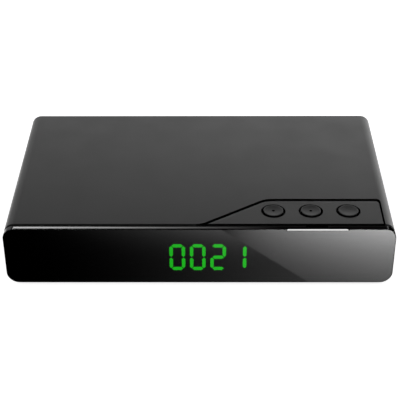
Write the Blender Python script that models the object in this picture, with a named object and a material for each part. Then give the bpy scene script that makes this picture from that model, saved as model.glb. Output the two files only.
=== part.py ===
"""A compact satellite TV receiver, built as the separate pieces that it is assembled from.

X runs to the right seen from the front, Y from the front to the back and Z up. The origin is on the
surface that the receiver stands on, under the middle of its outer box. Inside this script Y is
measured from the front of the window: the empty named receiver carries every piece and puts the
origin in its place. Every size is a named value, in metres.
"""

import math

import bmesh
import bpy
from mathutils import Vector

MM = 0.001

# The case
CASE_WIDTH = 220.0 * MM
CASE_DEPTH = 130.8 * MM
CASE_HEIGHT = 36.9 * MM
CASE_WALL = 2.0 * MM
TOP_RADIUS = 6.3 * MM
BOTTOM_RADIUS = 7.2 * MM
FOOT_HEIGHT = 2.5 * MM
PARTING_HEIGHT = 12.0 * MM
LIP_DEPTH = 1.0 * MM
LIP_HEIGHT = 1.6 * MM

# Clearances and cutting allowances
FIT_GAP = 0.3 * MM
SLIP_GAP = 0.2 * MM
OVERLAP = 0.4 * MM
OVERRUN = 1.0 * MM

# The front bezel and its window
BEZEL_BACK = 4.3 * MM
BEZEL_SETBACK = 0.2 * MM
BEZEL_RIM = 0.8 * MM
WINDOW_THICKNESS = 2.0 * MM
FRONT_JOINT = 1.3 * MM
COLLAR_DEPTH = 4.7 * MM
COLLAR_WALL = 1.5 * MM

# The status light guide in the top front edge
LIGHT_INSET = 37.75 * MM
LIGHT_WIDTH = 34.0 * MM
LIGHT_MITRE = 0.8 * MM
LIGHT_DEPTH = 0.9 * MM
LIGHT_HEIGHT = 0.6 * MM
LIGHT_DROP = 0.1 * MM
GUIDE_STEP = 0.1 * MM
GUIDE_WEB = 0.4 * MM
GUIDE_LEG_THICKNESS = 1.2 * MM
GUIDE_LEG_HEIGHT = 5.4 * MM
GUIDE_FOOT_HEIGHT = 1.5 * MM
GUIDE_FOOT_WIDTH = 12.0 * MM

# The button plate, as the middle line of the narrow joint round it
PLATE_SIDE_STRIP = 6.35 * MM
PLATE_TIP_REACH = 101.45 * MM
PLATE_SHOULDER_REACH = 65.45 * MM
PLATE_BACK_REACH = 11.45 * MM
PLATE_JOINT = 1.1 * MM
PLATE_DROP = 0.5 * MM
PLATE_SETBACK = 0.9 * MM
PLATE_BLEND = 11.0 * MM
PLATE_CORNER = 2.0 * MM
COVER_TIP_BLEND = 10.0 * MM
PLATE_FLANGE_REACH = 2.5 * MM
PLATE_FLANGE_THICKNESS = 1.2 * MM

# The three push buttons
BUTTON_COUNT = 3
BUTTON_INSET = 18.8 * MM
BUTTON_RADIUS = 5.75 * MM
BUTTON_SPACE = 9.85 * MM
BUTTON_WELL_GAP = 1.2 * MM
BUTTON_PROUD = 0.5 * MM
BUTTON_EDGE = 0.5 * MM
BUTTON_DISH = 0.35 * MM
BUTTON_RING_SHARES = (0.5, 0)
BUTTON_FLANGE_REACH = 0.6 * MM
BUTTON_FLANGE_THICKNESS = 1.0 * MM
BUTTON_STEM_RADIUS = 1.5 * MM
BUTTON_STEM_LENGTH = 2.5 * MM
BUTTON_MARK_WIDTH = 2.4 * MM
BUTTON_MARK_LINE = 0.5 * MM
BUTTON_MARK_HEIGHT = 0.15 * MM

# The tact switches and their board
SWITCH_WIDTH = 6.2 * MM
SWITCH_HEIGHT = 3.6 * MM
SWITCH_TRAVEL = 0.3 * MM
PLUNGER_RADIUS = 1.7 * MM
PLUNGER_HEIGHT = 0.8 * MM
PLUNGER_SEAT = 1.0 * MM
KEY_BOARD_THICKNESS = 1.2 * MM
KEY_BOARD_MARGIN = 9.5 * MM
KEY_BOARD_DEPTH = 13.4 * MM
KEY_BOARD_GAP = 1.7 * MM
KEY_POST_RADIUS = 2.5 * MM
KEY_PIN_RADIUS = 1.1 * MM
KEY_PIN_PROUD = 1.0 * MM

# The display
DIGIT_COUNT = 4
DISPLAY_CENTRE_X = 4.9 * MM
DIGIT_PITCH = 11.57 * MM
DIGIT_DROP = 1.74 * MM
DIGIT_HEIGHT = 17.96 * MM
DIGIT_SPREAD = 6.94 * MM
UPRIGHT_BAR = 1.9 * MM
LEVEL_BAR = 2.2 * MM
BAR_SPACE = 0.6 * MM
BAR_CLEARANCE = 0.1 * MM
DIGIT_SLAB = 1.0 * MM
DISPLAY_MARGIN_X = 2.2 * MM
DISPLAY_MARGIN_Z = 2.0 * MM
DISPLAY_DEPTH = 6.3 * MM
DISPLAY_FACE_GAP = 0.5 * MM

# The display board and what it carries
DISPLAY_BOARD_THICKNESS = 1.6 * MM
DISPLAY_BOARD_LEFT_GAP = 48.0 * MM
DISPLAY_BOARD_RIGHT_GAP = 12.0 * MM
DISPLAY_BOARD_EDGE = 2.0 * MM
DISPLAY_POST_RADIUS = 2.6 * MM
DISPLAY_POST_INSET = 6.0 * MM
DISPLAY_POST_RISE = 10.0 * MM
INFRARED_GAP_X = 12.0 * MM
INFRARED_WIDTH = 5.6 * MM
INFRARED_HEIGHT = 7.0 * MM
INFRARED_DEPTH = 2.6 * MM
INFRARED_LENS_RADIUS = 2.0 * MM
INFRARED_LENS_DEPTH = 1.6 * MM
STATUS_LED_WIDTH = 3.5 * MM
STATUS_LED_HEIGHT = 2.8 * MM
STATUS_LED_DEPTH = 1.4 * MM

# The screws
SCREW_HEAD_RADIUS = 2.7 * MM
SCREW_HEAD_HEIGHT = 1.7 * MM
SCREW_SHANK_RADIUS = 1.2 * MM
SCREW_DRIVE_DEPTH = 1.0 * MM
SCREW_DRIVE_LINE = 0.8 * MM
CASE_SCREW_LENGTH = 9.0 * MM
BOARD_SCREW_LENGTH = 4.5 * MM
CASE_BOSS_INSET = 9.0 * MM
CASE_BOSS_RADIUS = 3.0 * MM
CASE_BOSS_FRONT_Y = 40.0 * MM
CASE_BOSS_BACK_GAP = 10.8 * MM
SCREW_PAD_RADIUS = 4.6 * MM
SCREW_PAD_HEIGHT = 2.6 * MM
SCREW_SEAT_DEPTH = 2.6 * MM

# The feet
FOOT_RADIUS = 7.0 * MM
FOOT_EDGE = 0.6 * MM
FOOT_RECESS = 0.8 * MM
FOOT_INSET_X = 24.0 * MM
FOOT_FRONT_Y = 22.0 * MM
FOOT_BACK_GAP = 18.8 * MM

# The vents in the floor, under the decoder chip
VENT_COUNT = 12
VENT_ROWS = 2
VENT_WIDTH = 2.2 * MM
VENT_LENGTH = 18.0 * MM
VENT_PITCH = 5.2 * MM
VENT_ROW_PITCH = 24.0 * MM

# The rear panel and the ribs that hold it
PANEL_RECESS = 1.5 * MM
PANEL_THICKNESS = 1.5 * MM
PANEL_RIB_HEIGHT = 1.6 * MM
PANEL_RIB_THICKNESS = 1.2 * MM
PANEL_RIB_SHORT = 10.0 * MM

# The main board and its posts
BOARD_THICKNESS = 1.6 * MM
BOARD_STAND = 4.0 * MM
BOARD_SIDE_GAP = 2.0 * MM
BOARD_FRONT_Y = 22.0 * MM
BOARD_BACK_GAP = 1.0 * MM
BOARD_POST_RADIUS = 2.8 * MM
BOARD_POST_INSET = 5.0 * MM

# The row of sockets along the rear edge of the main board, left to right from the front
SOCKET_EDGE_GAP = 3.0 * MM
SOCKET_PROUD = 0.6 * MM
TUNER_WIDTH = 40.0 * MM
TUNER_DEPTH = 30.0 * MM
TUNER_HEIGHT = 15.0 * MM
TUNER_EDGE = 0.8 * MM
AERIAL_PITCH = 22.0 * MM
AERIAL_RADIUS = 4.7 * MM
AERIAL_LENGTH = 13.0 * MM
AERIAL_BORE_RADIUS = 3.4 * MM
AERIAL_BORE_DEPTH = 1.2 * MM
AERIAL_PIN_HOLE_RADIUS = 0.6 * MM
AERIAL_PIN_HOLE_DEPTH = 7.0 * MM
AERIAL_NUT_RADIUS = 6.4 * MM
AERIAL_NUT_THICKNESS = 2.4 * MM
HDMI_WIDTH = 15.0 * MM
HDMI_HEIGHT = 6.2 * MM
HDMI_DEPTH = 12.0 * MM
HDMI_WALL = 0.6 * MM
HDMI_CHAMFER = 2.0 * MM
HDMI_TONGUE_WIDTH = 11.0 * MM
HDMI_TONGUE_THICKNESS = 1.0 * MM
HDMI_TONGUE_RISE_SHARE = 0.6
SCART_WIDTH = 47.0 * MM
SCART_HEIGHT = 17.0 * MM
SCART_DEPTH = 15.0 * MM
SCART_WALL = 1.6 * MM
SCART_SLANT = 6.0 * MM
SCART_RECESS = 9.0 * MM
SCART_CORE_GAP = 2.0 * MM
SCART_CORE_DROP = 2.5 * MM
AUDIO_WIDTH = 10.0 * MM
AUDIO_HEIGHT = 13.0 * MM
AUDIO_DEPTH = 12.0 * MM
AUDIO_BARREL_RADIUS = 4.15 * MM
AUDIO_BARREL_LENGTH = 8.5 * MM
AUDIO_BORE_RADIUS = 1.6 * MM
USB_WIDTH = 14.0 * MM
USB_HEIGHT = 7.0 * MM
USB_DEPTH = 14.0 * MM
USB_WALL = 0.6 * MM
USB_TONGUE_THICKNESS = 1.9 * MM
USB_TONGUE_SIDE = 0.8 * MM
TONGUE_DROP = 1.2 * MM
POWER_WIDTH = 9.0 * MM
POWER_HEIGHT = 11.0 * MM
POWER_DEPTH = 14.0 * MM
POWER_BORE_RADIUS = 3.15 * MM
POWER_BORE_DEPTH = 9.5 * MM
POWER_PIN_RADIUS = 1.05 * MM
POWER_PIN_DROP = 0.8 * MM

# What stands on the main board
CHIP_WIDTH = 27.0 * MM
CHIP_HEIGHT = 2.2 * MM
SINK_WIDTH = 30.0 * MM
SINK_BASE = 2.0 * MM
SINK_FIN_HEIGHT = 8.0 * MM
SINK_FIN_COUNT = 7
SINK_FIN_THICKNESS = 1.2 * MM
MEMORY_WIDTH = 14.0 * MM
MEMORY_DEPTH = 10.0 * MM
MEMORY_HEIGHT = 1.2 * MM
MEMORY_GAP = 9.0 * MM
CAPACITOR_COUNT = 3
CAPACITOR_RADIUS = 4.0 * MM
CAPACITOR_HEIGHT = 12.0 * MM
CAPACITOR_EDGE = 0.6 * MM
CAPACITOR_PITCH = 13.0 * MM
CAPACITOR_SIDE_GAP = 12.0 * MM
CAPACITOR_BACK_GAP = 38.8 * MM
INDUCTOR_WIDTH = 12.0 * MM
INDUCTOR_HEIGHT = 7.0 * MM
INDUCTOR_CORNER = 2.5 * MM
INDUCTOR_REACH = 22.0 * MM

# The flat ribbon cables
RIBBON_THICKNESS = 0.8 * MM
DISPLAY_RIBBON_WIDTH = 20.0 * MM
DISPLAY_RIBBON_HEIGHT = 18.0 * MM
KEY_RIBBON_WIDTH = 8.0 * MM
KEY_RIBBON_FRONT = 4.0 * MM
RIBBON_LANDING = 9.0 * MM

# Counts that set how finely round shapes are cut
ROUND_SIDES = 16
FINE_SIDES = 28
SMALL_SIDES = 10
ARC_STEP = math.radians(15)
SMOOTH_ANGLE = math.radians(35)

# Heights, worked out from the sizes above
CASE_BOTTOM_Z = FOOT_HEIGHT
CASE_TOP_Z = CASE_BOTTOM_Z + CASE_HEIGHT
FLOOR_Z = CASE_BOTTOM_Z + CASE_WALL
ROOF_Z = CASE_TOP_Z - CASE_WALL
PARTING_Z = CASE_BOTTOM_Z + PARTING_HEIGHT
FLANGE_TOP_Z = ROOF_Z - FIT_GAP
FLANGE_BOTTOM_Z = FLANGE_TOP_Z - PLATE_FLANGE_THICKNESS
PLATE_TOP_Z = CASE_TOP_Z - PLATE_DROP
BUTTON_TOP_Z = PLATE_TOP_Z + BUTTON_PROUD
BUTTON_FLANGE_TOP_Z = FLANGE_BOTTOM_Z - FIT_GAP
BUTTON_FLANGE_BOTTOM_Z = BUTTON_FLANGE_TOP_Z - BUTTON_FLANGE_THICKNESS
BUTTON_STEM_Z = BUTTON_FLANGE_BOTTOM_Z - BUTTON_STEM_LENGTH
PLUNGER_TOP_Z = BUTTON_STEM_Z - FIT_GAP
SWITCH_TOP_Z = PLUNGER_TOP_Z - PLUNGER_HEIGHT
SWITCH_BOTTOM_Z = SWITCH_TOP_Z - SWITCH_HEIGHT
KEY_BOARD_TOP_Z = SWITCH_BOTTOM_Z - SLIP_GAP
KEY_BOARD_BOTTOM_Z = KEY_BOARD_TOP_Z - KEY_BOARD_THICKNESS
BOARD_BOTTOM_Z = FLOOR_Z + BOARD_STAND + SLIP_GAP
BOARD_TOP_Z = BOARD_BOTTOM_Z + BOARD_THICKNESS
ON_BOARD_Z = BOARD_TOP_Z + SLIP_GAP
DIGIT_MIDDLE_Z = CASE_BOTTOM_Z + CASE_HEIGHT / 2 - DIGIT_DROP

# Places along X and Y, worked out from the sizes above
HALF_WIDTH = CASE_WIDTH / 2
INNER_HALF_WIDTH = HALF_WIDTH - CASE_WALL
COVER_FRONT_Y = BEZEL_BACK + FRONT_JOINT
PLATE_FRONT_Y = COVER_FRONT_Y + PLATE_SETBACK
COLLAR_BACK_Y = BEZEL_BACK + COLLAR_DEPTH
BEHIND_COLLAR_Y = COLLAR_BACK_Y + FIT_GAP
WINDOW_POCKET_Y = WINDOW_THICKNESS + FIT_GAP
DISPLAY_FACE_Y = WINDOW_THICKNESS + DISPLAY_FACE_GAP
DISPLAY_BACK_Y = DISPLAY_FACE_Y + DISPLAY_DEPTH
DISPLAY_BOARD_Y = max(DISPLAY_BACK_Y + SLIP_GAP, BEHIND_COLLAR_Y)
DISPLAY_BOARD_BACK_Y = DISPLAY_BOARD_Y + DISPLAY_BOARD_THICKNESS
DISPLAY_BOARD_LEFT_X = -INNER_HALF_WIDTH + DISPLAY_BOARD_LEFT_GAP
DISPLAY_BOARD_RIGHT_X = INNER_HALF_WIDTH - DISPLAY_BOARD_RIGHT_GAP
BUTTON_Y = DISPLAY_BOARD_BACK_Y + KEY_BOARD_GAP + KEY_BOARD_DEPTH / 2
BUTTON_PITCH = 2 * BUTTON_RADIUS + BUTTON_SPACE
PLATE_RIGHT_X = HALF_WIDTH - PLATE_SIDE_STRIP
PLATE_TIP_X = PLATE_RIGHT_X - PLATE_TIP_REACH
PLATE_SHOULDER_X = PLATE_RIGHT_X - PLATE_SHOULDER_REACH
PLATE_BACK_Y = BUTTON_Y + PLATE_BACK_REACH
BUTTON_LAST_X = PLATE_RIGHT_X - BUTTON_INSET
LIGHT_CENTRE_X = PLATE_RIGHT_X - LIGHT_INSET
PANEL_BACK_Y = CASE_DEPTH - PANEL_RECESS
PANEL_FRONT_Y = PANEL_BACK_Y - PANEL_THICKNESS
BOARD_BACK_Y = PANEL_FRONT_Y - BOARD_BACK_GAP
TUNER_BACK_Y = PANEL_FRONT_Y - FIT_GAP
CASE_BOSS_X = INNER_HALF_WIDTH - CASE_BOSS_INSET
CASE_BOSS_BACK_Y = PANEL_FRONT_Y - CASE_BOSS_BACK_GAP
FOOT_BACK_Y = CASE_DEPTH - FOOT_BACK_GAP
BOARD_HALF_WIDTH = CASE_BOSS_X - CASE_BOSS_RADIUS - BOARD_SIDE_GAP
CHIP_CENTRE_Y = (BOARD_FRONT_Y + BOARD_BACK_Y) / 2
CAPACITOR_LAST_X = BOARD_HALF_WIDTH - CAPACITOR_SIDE_GAP
CAPACITOR_Y = BOARD_BACK_Y - CAPACITOR_BACK_GAP
WELL_RADIUS = BUTTON_RADIUS + BUTTON_WELL_GAP
PILOT_RADIUS = SCREW_SHANK_RADIUS + SLIP_GAP
WHOLE_DEPTH = TUNER_BACK_Y + SLIP_GAP + AERIAL_LENGTH

# Colour, roughness and metallic value of each finish
FINISHES = {
    "case_black": ((0.045, 0.046, 0.048), 0.55, 0.0),
    "gloss_black": ((0.006, 0.006, 0.007), 0.08, 0.0),
    "smoked_window": ((0.008, 0.008, 0.009), 0.05, 0.0),
    "light_guide": ((0.9, 0.92, 0.95), 0.3, 0.0),
    "button_black": ((0.035, 0.036, 0.038), 0.5, 0.0),
    "segment_green": ((0.05, 0.75, 0.1), 0.4, 0.0),
    "reflector_grey": ((0.05, 0.05, 0.05), 0.6, 0.0),
    "board_green": ((0.02, 0.16, 0.07), 0.45, 0.0),
    "tin_plate": ((0.62, 0.62, 0.6), 0.3, 1.0),
    "nickel": ((0.66, 0.63, 0.57), 0.22, 1.0),
    "socket_black": ((0.02, 0.02, 0.02), 0.5, 0.0),
    "audio_orange": ((0.85, 0.25, 0.03), 0.45, 0.0),
    "chip_black": ((0.03, 0.03, 0.033), 0.6, 0.0),
    "aluminium": ((0.72, 0.72, 0.73), 0.35, 1.0),
    "ferrite_grey": ((0.08, 0.08, 0.085), 0.7, 0.0),
    "screw_steel": ((0.3, 0.3, 0.31), 0.35, 1.0),
    "ribbon_grey": ((0.5, 0.5, 0.5), 0.6, 0.0),
    "panel_black": ((0.03, 0.03, 0.031), 0.5, 0.0),
    "foot_rubber": ((0.02, 0.02, 0.02), 0.85, 0.0),
}


def finish(name):
    """The Principled material of one finish, made when it is first asked for."""
    made = bpy.data.materials.get(name)
    if made:
        return made
    colour, roughness, metallic = FINISHES[name]
    made = bpy.data.materials.new(name)
    made.use_nodes = True
    shader = made.node_tree.nodes["Principled BSDF"]
    shader.inputs["Base Color"].default_value = (*colour, 1.0)
    shader.inputs["Roughness"].default_value = roughness
    shader.inputs["Metallic"].default_value = metallic
    made.diffuse_color = (*colour, 1.0)
    return made


def object_from(name, shape, material=None, smooth=False):
    """Turns a bmesh into an object that the receiver's empty carries."""
    bmesh.ops.recalc_face_normals(shape, faces=shape.faces)
    mesh = bpy.data.meshes.new(name)
    shape.to_mesh(mesh)
    shape.free()
    if smooth:
        mesh.shade_smooth()
        mesh.set_sharp_from_angle(angle=SMOOTH_ANGLE)
    made = bpy.data.objects.new(name, mesh)
    made.parent = bpy.data.objects["receiver"]
    bpy.context.scene.collection.objects.link(made)
    if material:
        mesh.materials.append(finish(material))
    return made


def combine(target, other, operation):
    """A Boolean of one object with a helper, which then leaves the render."""
    step = target.modifiers.new(operation.title(), "BOOLEAN")
    step.operation = operation
    step.solver = "EXACT"
    step.object = other
    other.hide_render = True
    other.display_type = "WIRE"


def cut(target, *cutters):
    for cutter in cutters:
        combine(target, cutter, "DIFFERENCE")


def join(target, *others):
    for other in others:
        combine(target, other, "UNION")


def placed(axis, across, up, along):
    """A point from its two coordinates in an outline and its place along the outline's axis."""
    return {
        "X": Vector((along, across, up)),
        "Y": Vector((across, along, up)),
        "Z": Vector((across, up, along)),
    }[axis]


def prisms(name, outlines, start, end, axis="Y", material=None, smooth=False):
    """Closed prisms of outlines: (x, z) along Y, (x, y) along Z or (y, z) along X."""
    shape = bmesh.new()
    for outline in outlines:
        near = [shape.verts.new(placed(axis, u, v, start)) for u, v in outline]
        far = [shape.verts.new(placed(axis, u, v, end)) for u, v in outline]
        shape.faces.new(near)
        shape.faces.new(reversed(far))
        for i in range(len(outline)):
            shape.faces.new((near[i - 1], near[i], far[i], far[i - 1]))
    return object_from(name, shape, material, smooth)


def prism(name, outline, start, end, axis="Y", material=None, smooth=False):
    return prisms(name, [outline], start, end, axis, material, smooth)


def rectangle(left, right, low, high):
    return [(left, low), (right, low), (right, high), (left, high)]


def box(name, x, y, z, material=None):
    """A box from its (low, high) pairs along X, Y and Z."""
    return prism(name, rectangle(*x, *z), *y, material=material)


def about(middle, width):
    """The (low, high) pair of a width round its middle."""
    return (middle - width / 2, middle + width / 2)


def turned(name, profile, at, axis="Z", sides=ROUND_SIDES, material=None):
    """The solid that a profile of (radius, distance along the axis) sweeps, from one pole to the other."""
    shape = bmesh.new()
    rings = []
    for radius, along in profile:
        if radius == 0:
            rings.append([shape.verts.new(placed(axis, 0, 0, along) + Vector(at))])
            continue
        turns = [2 * math.pi * (i + 0.5) / sides for i in range(sides)]
        points = [placed(axis, radius * math.cos(t), radius * math.sin(t), along) for t in turns]
        rings.append([shape.verts.new(point + Vector(at)) for point in points])
    for low, high in zip(rings, rings[1:]):
        for i in range(sides):
            corners = [low[i - 1], low[i], high[i], high[i - 1]] if len(low) > 1 < len(high) else None
            if len(low) == 1:
                corners = [low[0], high[i], high[i - 1]]
            if len(high) == 1:
                corners = [low[i - 1], low[i], high[0]]
            shape.faces.new(corners)
    return object_from(name, shape, material, smooth=True)


def rod(name, radius, start, end, at, axis="Z", sides=ROUND_SIDES, material=None):
    """A plain round rod between two places along its axis."""
    return turned(name, [(0, start), (radius, start), (radius, end), (0, end)], at, axis, sides, material)


def post(name, radius, root, mouth, bore_end, at, axis="Z"):
    """A round post from its root in a wall to its mouth, with a screw's pilot hole down to bore_end."""
    profile = [(0, root), (radius, root), (radius, mouth)]
    profile += [(PILOT_RADIUS, mouth), (PILOT_RADIUS, bore_end), (0, bore_end)]
    return turned(name, profile, at, axis, SMALL_SIDES)


def arc(centre, radius, start, sweep, step=ARC_STEP):
    """Points along an arc, both ends included."""
    steps = max(1, round(abs(sweep) / step))
    angles = [start + sweep * i / steps for i in range(steps + 1)]
    return [(centre[0] + radius * math.cos(a), centre[1] + radius * math.sin(a)) for a in angles]


def filleted(corners, radii):
    """The outline through these corners with each one rounded, or left sharp where its radius is zero."""
    outline = []
    for i, (corner, radius) in enumerate(zip(corners, radii)):
        here = Vector(corner)
        before = (Vector(corners[i - 1]) - here).normalized()
        after = (Vector(corners[(i + 1) % len(corners)]) - here).normalized()
        if radius <= 0:
            outline.append(tuple(here))
            continue
        half_angle = before.angle(after) / 2
        centre = here + (before + after).normalized() * (radius / math.sin(half_angle))
        first = here + before * (radius / math.tan(half_angle)) - centre
        last = here + after * (radius / math.tan(half_angle)) - centre
        start = math.atan2(first.y, first.x)
        sweep = (math.atan2(last.y, last.x) - start + math.pi) % (2 * math.pi) - math.pi
        outline += arc(centre, radius, start, sweep)
    return outline


def case_outline(inset):
    """The case's cross-section, moved inwards by the inset."""
    side = HALF_WIDTH - inset
    low = CASE_BOTTOM_Z + inset
    high = CASE_TOP_Z - inset
    radii = [BOTTOM_RADIUS - inset, BOTTOM_RADIUS - inset, TOP_RADIUS - inset, TOP_RADIUS - inset]
    return filleted(rectangle(-side, side, low, high), radii)


def upper_path(inset, low_z):
    """The part of the cross-section above a height, from its right end over the top to its left end."""
    above = [point for point in case_outline(inset) if point[1] > CASE_BOTTOM_Z + CASE_HEIGHT / 2]
    side = HALF_WIDTH - inset
    return [(side, low_z), *above, (-side, low_z)]


def lower_path(inset, high_z):
    """The part of the cross-section below a height, from its left end under the floor to its right end."""
    outline = case_outline(inset)
    below = [point for point in outline if point[1] < CASE_BOTTOM_Z + CASE_HEIGHT / 2]
    side = HALF_WIDTH - inset
    return [(-side, high_z), *below, (side, high_z)]


def button_centres():
    return [BUTTON_LAST_X - BUTTON_PITCH * i for i in reversed(range(BUTTON_COUNT))]


def post_centres():
    """The key board's posts stand midway between the buttons."""
    centres = button_centres()
    return [(a + b) / 2 for a, b in zip(centres, centres[1:])]


def boss_places():
    return [(side * CASE_BOSS_X, y) for side in (-1, 1) for y in (CASE_BOSS_FRONT_Y, CASE_BOSS_BACK_Y)]


def board_post_places():
    side = BOARD_HALF_WIDTH - BOARD_POST_INSET
    front = BOARD_FRONT_Y + BOARD_POST_INSET
    # The rear posts stand in front of the sockets.
    back = TUNER_BACK_Y - TUNER_DEPTH - BOARD_POST_INSET
    return [(x, y) for x in (-side, side) for y in (front, back)]


def display_post_places():
    """X and Z of the two posts on the bezel that carry the display board."""
    z = display_board_low() + DISPLAY_POST_RISE
    left = DISPLAY_BOARD_LEFT_X + DISPLAY_POST_INSET
    right = DISPLAY_BOARD_RIGHT_X - DISPLAY_POST_INSET
    return [(left, z), (right, z)]


def display_board_low():
    return FLOOR_Z + DISPLAY_BOARD_EDGE


def display_board_high():
    return FLANGE_BOTTOM_Z - FIT_GAP


def plate_corners(shift, front_y, right_shift):
    """Corners of the button plate's outline, moved outwards from the middle of the joint round it."""
    tip = Vector((PLATE_TIP_X, COVER_FRONT_Y))
    slant = (Vector((PLATE_SHOULDER_X, PLATE_BACK_Y)) - tip).normalized()
    start = tip + Vector((-slant.y, slant.x)) * shift
    back_y = PLATE_BACK_Y + shift
    front_x = start.x + (front_y - start.y) * slant.x / slant.y
    shoulder_x = start.x + (back_y - start.y) * slant.x / slant.y
    right_x = PLATE_RIGHT_X + right_shift
    return [(front_x, front_y), (right_x, front_y), (right_x, back_y), (shoulder_x, back_y)]


def plate_outline(shift, front_y, right_shift):
    corners = plate_corners(shift, front_y, right_shift)
    return filleted(corners, [0, 0, PLATE_CORNER + right_shift, PLATE_BLEND + shift])


def notch_outline():
    """The cover's cut-out for the plate, with the cover's own corner rounded where it meets the front."""
    shift = PLATE_JOINT / 2
    front, right, back, shoulder = plate_corners(shift, COVER_FRONT_Y, shift)
    turn = math.atan2(shoulder[1] - front[1], shoulder[0] - front[0])
    reach = COVER_TIP_BLEND * math.tan(turn / 2)
    centre = (front[0] - reach, COVER_FRONT_Y + COVER_TIP_BLEND)
    blend = arc(centre, COVER_TIP_BLEND, turn - math.pi / 2, -turn)
    ahead = COVER_FRONT_Y - OVERRUN
    corners = [(centre[0], ahead), (right[0], ahead), back, shoulder, *blend]
    radii = [0, 0, PLATE_CORNER + shift, PLATE_BLEND + shift] + [0] * len(blend)
    return filleted(corners, radii)


def make_panel_ribs(owner, low, high):
    """Two ribs across a shell, one on each side of the rear panel's edge."""
    half = INNER_HALF_WIDTH - PANEL_RIB_SHORT
    front = PANEL_FRONT_Y - FIT_GAP
    back = PANEL_BACK_Y + FIT_GAP
    for name, y in (("front", (front - PANEL_RIB_THICKNESS, front)), ("back", (back, CASE_DEPTH))):
        join(owner, box(f"{owner.name}_{name}_rib", (-half, half), y, (low, high)))


def make_top_cover():
    low = PARTING_Z + FIT_GAP
    rebate_top = low + LIP_HEIGHT
    lip_side = HALF_WIDTH - LIP_DEPTH
    inner = upper_path(CASE_WALL, rebate_top)[::-1]
    section = [*upper_path(0, low), (-lip_side, low), (-lip_side, rebate_top)]
    section += [*inner, (lip_side, rebate_top), (lip_side, low)]
    cover = prism("top_cover", section, COVER_FRONT_Y, CASE_DEPTH, "Y", "case_black", smooth=True)
    make_panel_ribs(cover, ROOF_Z - PANEL_RIB_HEIGHT, ROOF_Z + OVERLAP)
    boss_low = FLOOR_Z + SCREW_PAD_HEIGHT + FIT_GAP
    pilot_top = case_screw_top() + FIT_GAP
    root = ROOF_Z + OVERLAP
    for i, (x, y) in enumerate(boss_places()):
        join(cover, post(f"cover_boss_{i}", CASE_BOSS_RADIUS, root, boss_low, pilot_top, (x, y, 0)))
    cut(cover, prism("plate_notch", notch_outline(), ROOF_Z - OVERRUN, CASE_TOP_Z + OVERRUN, "Z"))


def make_bottom_shell():
    tongue_side = HALF_WIDTH - LIP_DEPTH - FIT_GAP
    tongue_top = PARTING_Z + LIP_HEIGHT
    section = [*lower_path(0, PARTING_Z), (tongue_side, PARTING_Z), (tongue_side, tongue_top)]
    section += lower_path(CASE_WALL, tongue_top)[::-1]
    section += [(-tongue_side, tongue_top), (-tongue_side, PARTING_Z)]
    shell = prism("bottom_shell", section, COVER_FRONT_Y, CASE_DEPTH, "Y", "case_black", smooth=True)
    make_panel_ribs(shell, FLOOR_Z - OVERLAP, FLOOR_Z + PANEL_RIB_HEIGHT)
    top = FLOOR_Z + BOARD_STAND
    low = board_screw_low() - FIT_GAP
    root = min(FLOOR_Z, low) - OVERLAP
    for i, (x, y) in enumerate(board_post_places()):
        join(shell, post(f"board_post_{i}", BOARD_POST_RADIUS, root, top, low, (x, y, 0)))
    for i, (x, y) in enumerate(boss_places()):
        top = FLOOR_Z + SCREW_PAD_HEIGHT
        at = (x, y, 0)
        pad = (SCREW_PAD_RADIUS, FLOOR_Z - OVERLAP, top)
        join(shell, rod(f"screw_pad_{i}", *pad, at, sides=SMALL_SIDES))
        seat = CASE_BOTTOM_Z + SCREW_SEAT_DEPTH
        head = (SCREW_HEAD_RADIUS + FIT_GAP, CASE_BOTTOM_Z - OVERRUN, seat)
        cut(shell, rod(f"screw_seat_{i}", *head, at, sides=SMALL_SIDES))
        through = (SCREW_SHANK_RADIUS + FIT_GAP, seat - OVERRUN, top + OVERRUN)
        cut(shell, rod(f"screw_way_{i}", *through, at, sides=SMALL_SIDES))
    for i, (x, y) in enumerate(foot_places()):
        recess = rod(f"foot_recess_{i}", FOOT_RADIUS + FIT_GAP, 0, CASE_BOTTOM_Z + FOOT_RECESS, (x, y, 0))
        cut(shell, recess)
    cut(shell, make_vents())


def make_vents():
    slots = []
    for row in range(VENT_ROWS):
        y = about(CHIP_CENTRE_Y + VENT_ROW_PITCH * (row - (VENT_ROWS - 1) / 2), VENT_LENGTH)
        for i in range(VENT_COUNT):
            x = about(VENT_PITCH * (i - (VENT_COUNT - 1) / 2), VENT_WIDTH)
            slots.append(rectangle(*x, *y))
    return prisms("floor_vents", slots, CASE_BOTTOM_Z - OVERRUN, FLOOR_Z + OVERRUN, "Z")


def foot_places():
    side = HALF_WIDTH - FOOT_INSET_X
    return [(x, y) for x in (-side, side) for y in (FOOT_FRONT_Y, FOOT_BACK_Y)]


def make_feet():
    names = ("foot_left_front", "foot_left_back", "foot_right_front", "foot_right_back")
    top = CASE_BOTTOM_Z + FOOT_RECESS - SLIP_GAP
    narrow = FOOT_RADIUS - FOOT_EDGE
    profile = [(0, 0), (narrow, 0), (FOOT_RADIUS, FOOT_EDGE), (FOOT_RADIUS, top), (0, top)]
    for name, (x, y) in zip(names, foot_places()):
        turned(name, profile, (x, y, 0), material="foot_rubber")


def case_screw_top():
    return CASE_BOTTOM_Z + SCREW_SEAT_DEPTH - SLIP_GAP + CASE_SCREW_LENGTH


def board_screw_low():
    return BOARD_TOP_Z + SLIP_GAP - BOARD_SCREW_LENGTH


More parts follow.
